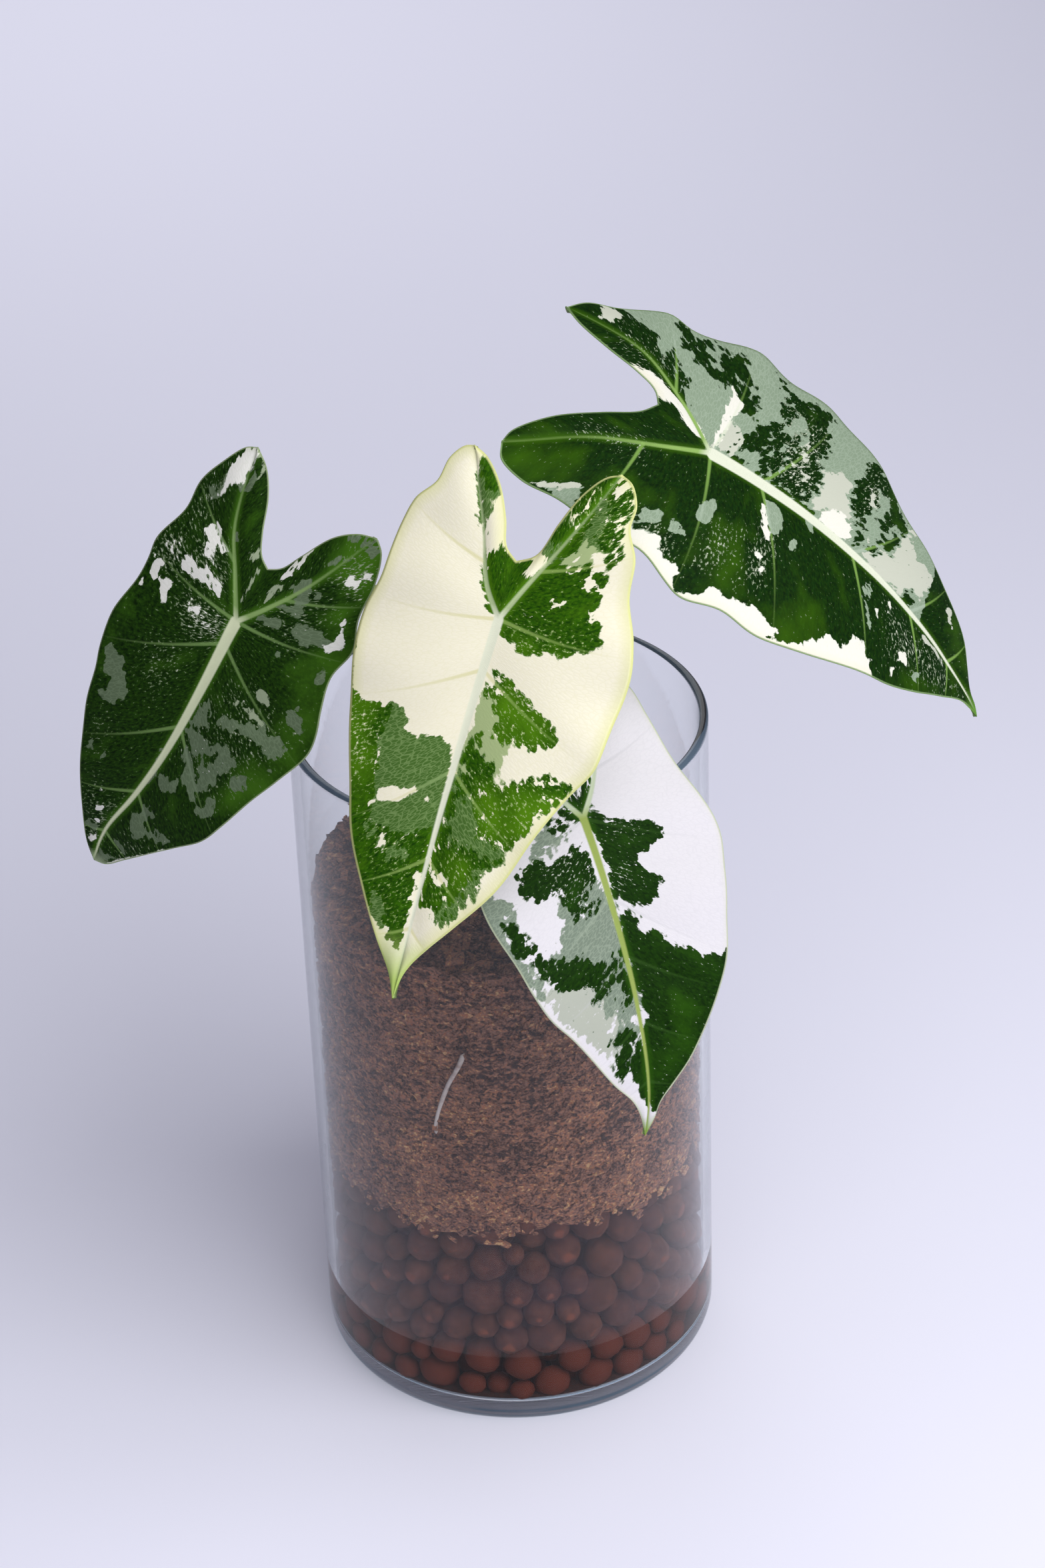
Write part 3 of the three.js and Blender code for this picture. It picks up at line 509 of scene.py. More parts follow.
for where, pattern_size, detail, roughness, spread in (
        (fibre_place, FIBRE_SIZE, 5.0, 0.7, 2.9),
        (place, GRAIN_SIZE, 3.0, 0.75, 2.2),
        (place, PATCH_SIZE, 5.0, 0.5, 1.1)):
    pattern = add_node(tree, "TexNoise", {
        "Vector": where, "Scale": 1 / (pattern_size * MM),
        "Detail": detail, "Roughness": roughness}).outputs[0]
    centred = add_node(tree, "Math", {0: pattern, 1: 0.5}, operation="SUBTRACT").outputs[0]
    mixed_tone = add_node(tree, "Math", {
        0: centred, 1: spread, 2: mixed_tone}, operation="MULTIPLY_ADD").outputs[0]
colour = BARK_DARK
for start, end, shade in (
        (0.05, 0.4, BARK_BROWN), (0.45, 0.7, BARK_PALE), (0.72, 0.85, BARK_RUST), (0.92, 1.1, BARK_STRAW)):
    share = add_node(tree, "MapRange", {"Value": mixed_tone, "From Min": start, "From Max": end}).outputs[0]
    colour = layered(tree, colour, (share, shade))
relief = add_node(tree, "Bump", {"Height": mixed_tone, "Strength": 0.6, "Distance": 0.5 * MM}).outputs[0]
body = add_node(tree, "BsdfPrincipled", {
    "Base Color": colour, "Roughness": 0.85, "Specular IOR Level": DULL_SHINE, "Normal": relief})
add_node(tree, "OutputMaterial", {"Surface": body.outputs[0]})

bark = new_piece("bark", bark_bm, bark_finish, smooth=False)
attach(bark, "root")
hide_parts("bark_substrate")

# The rhizome
# The short thick stem of the plant, corky and brown, ringed by the scars of fallen leaves.
# It stands in the bark with its top just clear of it.
RHIZOME_RADIUS = 8.4
RHIZOME_STEPS = 48
SCAR_SPACING = 3.2
SCAR_DEPTH = 0.9
WARP_SIZE = 5
WARP_SHARE = 0.05
rhizome_low, rhizome_high = (corner.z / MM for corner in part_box("rhizome"))
rhizome_bm = bmesh.new()
corners = [(0, rhizome_low + 0.2), (RHIZOME_RADIUS * 0.6, rhizome_low + 1.5)]
scar = rhizome_low + SCAR_SPACING
while scar < rhizome_high - 3:
    corners += [
        (RHIZOME_RADIUS - SCAR_DEPTH, scar - 0.5),
        (RHIZOME_RADIUS, scar),
        (RHIZOME_RADIUS - 0.5, scar + 1),
    ]
    scar += SCAR_SPACING
corners += [
    (RHIZOME_RADIUS - 0.6, rhizome_high - 1.2),
    (RHIZOME_RADIUS - 2, rhizome_high),
    (0, rhizome_high),
]
draw_half_outline(rhizome_bm, [(x * MM, z * MM) for x, z in corners])
spin_outline(rhizome_bm, RHIZOME_STEPS)
for vertex in rhizome_bm.verts:
    vertex.co.xy *= 1 + WARP_SHARE * noise.noise(vertex.co / (WARP_SIZE * MM))

# Corky stem bark: dull tan-brown with darker level cracks
CORK_DARK = "#4A3524"
CORK_PALE = "#9A7A50"
CRACK_SIZE = 3.846
corky_bark, tree = new_material("corky stem bark")
place = add_node(tree, "TexCoord").outputs["Object"]
stretched = add_node(tree, "Mapping", {"Vector": place, "Scale": (1, 1, 4)}).outputs[0]
cracks = add_node(tree, "TexNoise", {
    "Vector": stretched, "Scale": 1 / (CRACK_SIZE * MM), "Detail": 5.0, "Roughness": 0.7}).outputs[0]
share = add_node(tree, "MapRange", {"Value": cracks, "From Min": 0.35, "From Max": 0.65}).outputs[0]
relief = add_node(tree, "Bump", {"Height": cracks, "Strength": 0.6, "Distance": 0.4 * MM}).outputs[0]
body = add_node(tree, "BsdfPrincipled", {
    "Base Color": layered(tree, CORK_DARK, (share, CORK_PALE)), "Roughness": 0.8, "Normal": relief})
add_node(tree, "OutputMaterial", {"Surface": body.outputs[0]})

rhizome = new_piece("stem_rhizome", rhizome_bm, corky_bark)
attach(rhizome, "root")
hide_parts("rhizome")

# The roots
# Thin pale roots that grew out of the rhizome through the bark, one of them along the glass.
# Their skin is a soft white felt of root hairs.
ROOT_RADIUS = 1.0
ROOT_SIDES = 12
ROOT_POINTS = 60
ROOT_TAPER = 0.45
KNOB_SPACING = 9
KNOB_HEIGHT = 0.12
on_glass = fill_radius - ROOT_RADIUS - 0.15
ROOT_ROUTES = {
    "root_at_glass": [
        (-1, -7, 168), (-6, -32, 168), (-12, -52, 165),
        *((on_glass * math.sin(math.radians(turned)), -on_glass * math.cos(math.radians(turned)), z)
          for turned, z in ((-14, 157), (-19, 144), (-23, 127))),
        (-23, -54, 114),
    ],
    "root_left": [(-7, 1, 172), (-28, 6, 166), (-44, 14, 148), (-49, 20, 122)],
    "root_back": [(4, 6, 164), (18, 24, 156), (26, 40, 138), (25, 46, 108)],
}
CURVE_STEPS = 50


def smooth_curve(points):
    """The centripetal Catmull-Rom curve through points, as a function of the share of its length."""
    listed = np.array(points, float)
    padded = np.vstack([2 * listed[0] - listed[1], listed, 2 * listed[-1] - listed[-2]])
    share = np.linspace(0, 1, CURVE_STEPS, endpoint=False)[:, None]
    dense = []
    for p0, p1, p2, p3 in zip(padded, padded[1:], padded[2:], padded[3:]):
        d0, d1, d2 = (math.sqrt(np.linalg.norm(q - p)) for p, q in ((p0, p1), (p1, p2), (p2, p3)))
        leave = ((p1 - p0) / d0 - (p2 - p0) / (d0 + d1) + (p2 - p1) / d1) * d1
        arrive = ((p2 - p1) / d1 - (p3 - p1) / (d1 + d2) + (p3 - p2) / d2) * d1
        square = 3 * (p2 - p1) - 2 * leave - arrive
        cube = 2 * (p1 - p2) + leave + arrive
        dense.append(p1 + share * (leave + share * (square + share * cube)))
    dense = np.vstack([*dense, listed[-1:]])
    run = np.append(0, np.cumsum(np.linalg.norm(np.diff(dense, axis=0), axis=1)))

    def at(shares):
        along = np.clip(shares, 0, 1) * run[-1]
        return np.stack([np.interp(along, run, column) for column in dense.T], axis=-1)
    return at


def round_stalk(points, radii, sides):
    """A bmesh of a round stalk along points with a radius at each, all in millimetres."""
    line = bpy.data.curves.new("stalk", "CURVE")
    line.dimensions = "3D"
    line.bevel_depth = 1
    line.bevel_resolution = sides // 4 - 2
    line.use_fill_caps = True
    spline = line.splines.new("POLY")
    spline.points.add(len(points) - 1)
    for point, where, radius in zip(spline.points, points, radii):
        point.co = (*(np.array(where) * MM), 1)
        point.radius = radius * MM
    drawn = bpy.data.objects.new("stalk", line)
    mesh = bpy.data.meshes.new_from_object(drawn)
    stalk = bmesh.new()
    stalk.from_mesh(mesh)
    bpy.data.objects.remove(drawn)
    bpy.data.curves.remove(line)
    bpy.data.meshes.remove(mesh)
    bmesh.ops.remove_doubles(stalk, verts=stalk.verts, dist=MERGE_DISTANCE / 10)
    bmesh.ops.recalc_face_normals(stalk, faces=stalk.faces)
    return stalk


# Root skin: off-white, matte, with a few tan stains
ROOT_COLOUR = "#B9ABA6"
ROOT_STAIN = "#8F7468"
STAIN_SIZE = 3.333
root_skin, tree = new_material("felted root skin")
place = add_node(tree, "TexCoord").outputs["Object"]
stains = add_node(tree, "TexNoise", {
    "Vector": place, "Scale": 1 / (STAIN_SIZE * MM), "Detail": 4.0}).outputs[0]
share = add_node(tree, "MapRange", {"Value": stains, "From Min": 0.5, "From Max": 0.75}).outputs[0]
body = add_node(tree, "BsdfPrincipled", {
    "Base Color": layered(tree, ROOT_COLOUR, (share, ROOT_STAIN)), "Roughness": 0.85})
add_node(tree, "OutputMaterial", {"Surface": body.outputs[0]})

for name, route in ROOT_ROUTES.items():
    shares = np.linspace(0, 1, ROOT_POINTS)
    points = smooth_curve(route)(shares)
    knobs = np.array([noise.noise(Vector(point) / KNOB_SPACING) for point in points])
    radii = ROOT_RADIUS * (1 - ROOT_TAPER * shares ** 2) * (1 + KNOB_HEIGHT * knobs)
    root = new_piece("white_" + name, round_stalk(points, radii, ROOT_SIDES), root_skin)
    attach(root, "root")
    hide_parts(name)

# The blades
# Four arrow-shaped leaf blades with a velvety skin, thin and firm, quilted between pale veins.
# Each unfolded from its petiole, and its white, silver and green sectors grew with it.
BLADE_THICKNESS = 0.9
MARGIN_THICKNESS = 0.4
QUILTING = 0.8
ROW_BOW = 1.6
MIDRIB_DEPTH = 1.8
LOBE_VEIN_DEPTH = 1.1
SIDE_VEIN_DEPTH = 0.6
SIDE_VEINS = 5
ROWS_PER_VEIN = 28
LOBE_ROWS = 56
OUTER_COLUMNS = 40
BACK_COLUMNS = 20
HALF_WIDTH = 45
WAVE_LENGTH = 29
WAVE_STARTS = (3.2, 1)
CREASE = 3
REGION_GAP = 200
SEAM = 0.02

# A blade is measured flat, as (along, across) in millimetres from its junction with the petiole: along
# runs to the tip and is negative in the back lobes. Its heading, hang and roll are degrees, its bends are
# radians a metre, and its fold, droop and wave say how it is creased, arched and rippled across.
BLADES = {
    "front": {
        "junction": (2, -76, 329), "heading": -33.6, "hang": 53.9, "roll": -3,
        "tip_bend": 0.8, "lobe_bend": 0.8, "fold": 0.06, "droop": 0.15, "wave": 1.0,
        "tip": (120.5, 0), "midrib": [(60, -0.5)], "vein_roots": [98, 76, 48, 16, 0], "sinus": (-18.5, 0),
        "sides": [{
            "margin": [
                (113, -3.5), (104, -10.5), (91, -19.5), (72, -30), (50, -37), (36, -42), (20, -45),
                (8, -46.5), (-4, -43), (-21, -42.5), (-29, -40), (-36, -34), (-44, -32.5), (-48.5, -29)],
            "lobe_end": (-49.5, -25.5),
            "inner_margin": [(-47, -20), (-40, -13), (-30, -7.5), (-22, -4.5)],
            "lobe_vein": [(-9, -7), (-26, -14)],
            "vein_ends": [103, 89, 71, 35, 3], "lobe_side_vein": -28,
        }, {
            "margin": [
                (112, 1.7), (105, 5.5), (94, 14), (80, 24), (62, 31.5), (46, 38.5), (35, 45), (20, 46),
                (5, 47.5), (-4, 45), (-16, 39.5), (-28, 38), (-37, 33), (-44, 32.8), (-50, 29.5)],
            "lobe_end": (-52, 25.5),
            "inner_margin": [(-50, 20.5), (-43, 14.5), (-33, 10), (-22, 6)],
            "lobe_vein": [(-12, 6), (-29, 15)],
            "vein_ends": [103, 89, 67, 36, 1], "lobe_side_vein": -29,
        }],
    },
    "low": {
        "junction": (26, -81, 259.5), "heading": 22.8, "hang": 45.8, "roll": 0,
        "tip_bend": 5.7, "lobe_bend": 2.4, "fold": 0.1, "droop": 0.12, "wave": 0.9,
        "tip": (104, -2.5), "midrib": [(28, 0.8), (62, 1.5), (90, 0.5)],
        "vein_roots": [86, 66, 45, 26, 0], "sinus": (-15.5, 0),
        "sides": [{
            "margin": [
                (96, -3.5), (91, -5.5), (84, -11), (74, -17), (66, -22), (58, -28), (49, -32), (39, -35),
                (22, -41), (8, -40.5), (-4, -37), (-14, -34.5), (-27, -31), (-37, -28.5)],
            "lobe_end": (-45, -21.5),
            "inner_margin": [(-42, -15.5), (-34, -9.5), (-24, -6), (-18, -3.5)],
            "lobe_vein": [(-9, -6), (-24, -13)],
            "vein_ends": [89, 77, 62, 47, 16], "lobe_side_vein": -23,
        }, {
            "margin": [
                (99, 1.3), (94, 4), (88.5, 9.5), (82, 16), (72, 23.5), (62, 29.5), (52, 34.5), (39, 37.5),
                (27, 40), (17, 42.3), (11, 41.8), (3, 39.2), (-10, 34.8), (-26, 31), (-38, 28.5)],
            "lobe_end": (-45, 22),
            "inner_margin": [(-42, 16), (-34, 10), (-24, 6.5), (-18, 3.5)],
            "lobe_vein": [(-9, 6), (-24, 13)],
            "vein_ends": [89, 77, 62, 52, 17], "lobe_side_vein": -23,
        }],
    },
    "left": {
        "junction": (-81, -37, 310), "heading": -72.7, "hang": 52.4, "roll": -41,
        "tip_bend": 4.7, "lobe_bend": 1, "fold": 0.08, "droop": 0.14, "wave": 1.0,
        "tip": (106.5, -5.5), "midrib": [(24, 2.2), (40, 2.6), (56, 1.8), (73, -1), (92, -5.5)],
        "vein_roots": [92, 70, 40, 8, 0], "sinus": (-19.8, -1),
        "sides": [{
            "margin": [
                (101, -10.5), (90, -16.5), (70, -25.5), (57, -30), (44, -33), (36, -36), (24, -37.5),
                (10, -36.5), (2, -37), (-5, -38), (-18, -35.5), (-28, -36.5), (-38, -33.5), (-46, -30)],
            "lobe_end": (-48.5, -26.5),
            "inner_margin": [(-45, -20), (-38, -14), (-28, -9), (-22, -5)],
            "lobe_vein": [(-12, -9), (-24, -18)],
            "vein_ends": [96, 82, 66, 33, -2], "lobe_side_vein": -28,
        }, {
            "margin": [
                (104.5, -1), (97, 5), (86, 13.5), (78, 20), (68, 28), (58, 32), (45, 36), (32, 41),
                (20, 44.3), (12, 43.3), (4, 40.5), (-6, 37), (-17, 38), (-26, 34), (-38, 31.5), (-47, 27.5)],
            "lobe_end": (-49.8, 23.5),
            "inner_margin": [(-47, 17.5), (-41, 11.3), (-30, 6), (-23, 2.8)],
            "lobe_vein": [(-10, 6.5), (-25, 14.5)],
            "vein_ends": [96, 83, 63, 24, -12], "lobe_side_vein": -30,
        }],
    },
    "right": {
        "junction": (70.3, -17.3, 353), "heading": 82.5, "hang": 33.2, "roll": 22.7,
        "tip_bend": 4.6, "lobe_bend": 3.8, "fold": 0.02, "droop": 0.21, "wave": 0.7,
        "tip": (137.5, 0), "midrib": [(37, 1.5), (92, 2)],
        "vein_roots": [112, 88, 58, 19, 0], "sinus": (-21.5, 7),
        "sides": [{
            "margin": [
                (132, -1.5), (126, -3.5), (113, -12.7), (102, -20.6), (91, -27), (79, -32), (66, -37.5),
                (50, -45), (40, -47.7), (24, -49), (10, -52), (2, -50), (-10, -46), (-25, -46),
                (-40, -43.5), (-52, -42), (-60, -38.5)],
            "lobe_end": (-62, -33),
            "inner_margin": [(-60.5, -27.5), (-51, -16.5), (-37, -6.5), (-26, 1)],
            "lobe_vein": [(-15, -7.5), (-36, -17)],
            "vein_ends": [117, 104, 80, 44, 6], "lobe_side_vein": -30,
        }, {
            "margin": [
                (134, 2.2), (129, 3.6), (124, 9), (118, 16), (108, 22), (90, 29.5), (78, 34), (68, 39.4),
                (58, 45.5), (49, 49.3), (39, 50.8), (21, 50.8), (7, 53.5), (0, 52.2), (-10, 49), (-20, 46),
                (-28, 47.3), (-35, 45), (-46, 38.6), (-55, 34.4)],
            "lobe_end": (-60.5, 28.5),
            "inner_margin": [(-54, 24), (-43, 19.5), (-31, 15.2), (-24, 11.5)],
            "lobe_vein": [(-16, 14), (-35, 26)],
            "vein_ends": [119, 102, 80, 40, 3], "lobe_side_vein": -29,
        }],
    },
}


def blade_axes(blade):
    """The blade's directions at its junction: along the midrib, across it, and out of its face."""
    turned, down, twist = (math.radians(blade[key]) for key in ("heading", "hang", "roll"))
    out = np.array([math.sin(turned), -math.cos(turned), 0])
    up = np.array([0, 0, 1])
    along = out * math.cos(down) - up * math.sin(down)
    level = out * math.sin(down) + up * math.cos(down)
    side = np.cross(level, along)
    across = side * math.cos(twist) + level * math.sin(twist)
    face = level * math.cos(twist) - side * math.sin(twist)
    return along, across, face


def blade_points(blade, flat, lift):
    """Points of the upper face in millimetres, raised by lift along the arched midrib's own normal."""
    along, across, face = blade_axes(blade)
    ahead, aside = flat.T
    bend = np.where(ahead >= 0, blade["tip_bend"], blade["lobe_bend"]) / 1000
    angle = bend * ahead
    sag = blade["droop"] * aside ** 2 / (2 * HALF_WIDTH)
    phase = 2 * math.pi * ahead / WAVE_LENGTH + np.where(aside > 0, WAVE_STARTS[1], WAVE_STARTS[0])
    waves = blade["wave"] * (aside / HALF_WIDTH) ** 2 * np.sin(phase)
    rise = blade["fold"] * (np.hypot(aside, CREASE) - CREASE) - sag + waves + lift
    forward = np.sin(angle) / bend + rise * np.sin(angle)
    outward = (np.cos(angle) - 1) / bend + rise * np.cos(angle)
    return (np.array(blade["junction"]) + forward[:, None] * along
            + outward[:, None] * face + aside[:, None] * across)


def share_at(curve, along):
    """How far along a margin or midrib curve it passes the given distances along the blade."""
    shares = np.linspace(0, 1, 4000)
    passed = np.minimum.accumulate(curve(shares)[:, 0])
    return np.interp(-np.asarray(along, float), -passed, shares)


def blade_curves(blade, side):
    """One side's midrib, lobe vein, margin from tip to lobe and inner margin from lobe to sinus."""
    return (
        smooth_curve([blade["tip"], *blade["midrib"][::-1], (0, 0)]),
        smooth_curve([(0, 0), *side["lobe_vein"], side["lobe_end"]]),
        smooth_curve([blade["tip"], *side["margin"], side["lobe_end"]]),
        smooth_curve([side["lobe_end"], *side["inner_margin"], blade["sinus"]]))


def blade_regions(blade, side):
    """The two fans of rows of one side, from spine to edge. Each row has a station: 0 at the tip, 1 to 5
    at the side veins from there to the junction, 6 at the lobe's side vein and 7 at the lobe's end."""
    midrib, lobe, margin, inner = blade_curves(blade, side)
    stations = np.append(
        np.linspace(0, SIDE_VEINS, SIDE_VEINS * ROWS_PER_VEIN + 1),
        [*np.linspace(5, 6, LOBE_ROWS // 3 + 1)[1:], *np.linspace(6, 7, LOBE_ROWS * 2 // 3 + 1)[1:]])
    vein_shares = share_at(margin, [*side["vein_ends"], side["lobe_side_vein"]])
    edge_shares = np.interp(stations, range(8), [0, *vein_shares, 1])
    roots = np.interp(stations, range(6), [blade["tip"][0], *blade["vein_roots"]])
    lobe_shares = np.interp(stations, [5, 6, 7], [0, 1 / 3, 1])
    on_midrib = (stations < SIDE_VEINS)[:, None]
    spine = np.where(on_midrib, midrib(share_at(midrib, roots)), lobe(lobe_shares))
    midrib_depth = MIDRIB_DEPTH * (1 - roots / blade["tip"][0])
    depth = np.where(stations <= SIDE_VEINS, midrib_depth, LOBE_VEIN_DEPTH * (1 - lobe_shares))
    outer = (spine, margin(edge_shares), stations, depth, OUTER_COLUMNS)
    shares = lobe_shares[stations >= SIDE_VEINS]
    no_vein = np.full(len(shares), 0.5)
    back = (lobe(shares), inner(1 - shares), no_vein, LOBE_VEIN_DEPTH * (1 - shares), BACK_COLUMNS)
    return outer, back


def distance_to_line(points, line, closed=False):
    """The distance of each point to a line of straight pieces, in the line's own units."""
    starts = np.array(line, float)
    ends = np.roll(starts, -1, axis=0) if closed else starts[1:]
    starts = starts if closed else starts[:-1]
    nearest = np.full(len(points), np.inf)
    for start, end in zip(starts, ends):
        piece = end - start
        share = np.clip((points - start) @ piece / max(piece @ piece, 1e-9), 0, 1)
        nearest = np.minimum(nearest, np.linalg.norm(points - start - share[:, None] * piece, axis=1))
    return nearest


def inside_distance(points, outline):
    """How far inside a closed outline each point lies, negative outside it."""
    starts = np.array(outline, float)
    ends = np.roll(starts, -1, axis=0)
    crossings = np.zeros(len(points), int)
    x, y = points.T
    for (x0, y0), (x1, y1) in zip(starts, ends):
        if y0 != y1:
            crossings += ((y0 > y) != (y1 > y)) & (x < x0 + (y - y0) * (x1 - x0) / (y1 - y0))
    return np.where(crossings % 2 == 1, 1, -1) * distance_to_line(points, outline, closed=True)


def lay_region(sheet, blade, row_start, region, rows):
    """Adds one fan of rows to a blade's upper face: a grid, bowed, quilted between the side veins."""
    spine, edge, stations, depth, columns = rows
    part = np.linspace(0, 1, columns + 1)[None, :, None]
    rounded = np.sin(math.pi * part[..., 0])
    flat = spine[:, None] * (1 - part) + edge[:, None] * part
    bow = ROW_BOW * rounded * (region == 0)
    flat[..., 0] += bow * np.linalg.norm(edge - spine, axis=1)[:, None] / HALF_WIDTH
    lift = QUILTING * np.sin(math.pi * (stations % 1)[:, None]) * rounded
    reach = np.linalg.norm(flat - spine[:, None], axis=-1)
    middle_line = (spine + edge) / 2
    row = np.append(0, np.cumsum(np.linalg.norm(np.diff(middle_line, axis=0), axis=1)))
    row = np.repeat(row[:, None] + row_start, columns + 1, axis=1)
    rib = depth[:, None] * np.exp(-(reach / (0.6 + depth[:, None])) ** 2)
    to_vein = np.abs((stations + 0.5) % 1 - 0.5)[:, None] * ROWS_PER_VEIN * 0.8
    side_vein = SIDE_VEIN_DEPTH * (1 - part[..., 0]) * np.exp(-to_vein ** 2) * (region == 0)
    places = blade_points(blade, flat.reshape(-1, 2), lift.ravel()) * MM
    grid = bmesh.ops.create_grid(sheet, x_segments=columns, y_segments=len(spine) - 1, size=1)["verts"]
    for layer, values in {
            "along": flat[..., 0], "across": flat[..., 1], "row": row, "reach": reach,
            "drop": rib + side_vein}.items():
        kept = sheet.verts.layers.float[layer]
        for vertex, value in zip(grid, values.ravel()):
            vertex[kept] = value
    for vertex, place in zip(grid, places):
        vertex.co = place
    return grid


def blade_sheet(blade):
    """The blade as a closed bmesh. Its vertices keep their flat place and where they lie in their row."""
    sheet = bmesh.new()
    for layer in ("along", "across", "row", "reach", "drop"):
        sheet.verts.layers.float.new(layer)
    sheet.verts.layers.float_vector.new("down")
    for number, side in enumerate(blade["sides"]):
        for region, rows in enumerate(blade_regions(blade, side)):
            grid = lay_region(sheet, blade, REGION_GAP * (2 * number + region), region, rows)
            if (number + region) % 2 == 0:
                faces = {face for vertex in grid for face in vertex.link_faces}
                bmesh.ops.reverse_faces(sheet, faces=list(faces))
    bmesh.ops.remove_doubles(sheet, verts=sheet.verts, dist=SEAM * MM)
    bmesh.ops.recalc_face_normals(sheet, faces=sheet.faces)
    face_way = Vector(blade_axes(blade)[2])
    if sum(face.normal.dot(face_way) for face in sheet.faces) < 0:
        bmesh.ops.reverse_faces(sheet, faces=sheet.faces)
    sheet.normal_update()
    drop = sheet.verts.layers.float["drop"]
    down = sheet.verts.layers.float_vector["down"]
    for vertex in sheet.verts:
        thickness = MARGIN_THICKNESS if vertex.is_boundary else BLADE_THICKNESS
        vertex[down] = -vertex.normal * (thickness + vertex[drop]) * MM
    upper_faces = sheet.faces[:]
    below = bmesh.ops.extrude_face_region(sheet, geom=upper_faces, use_keep_orig=True)
    for element in below["geom"]:
        if isinstance(element, bmesh.types.BMVert):
            element.co += element[down]
        elif isinstance(element, bmesh.types.BMFace):
            element.material_index = 1
    bmesh.ops.recalc_face_normals(sheet, faces=sheet.faces)
    return sheet


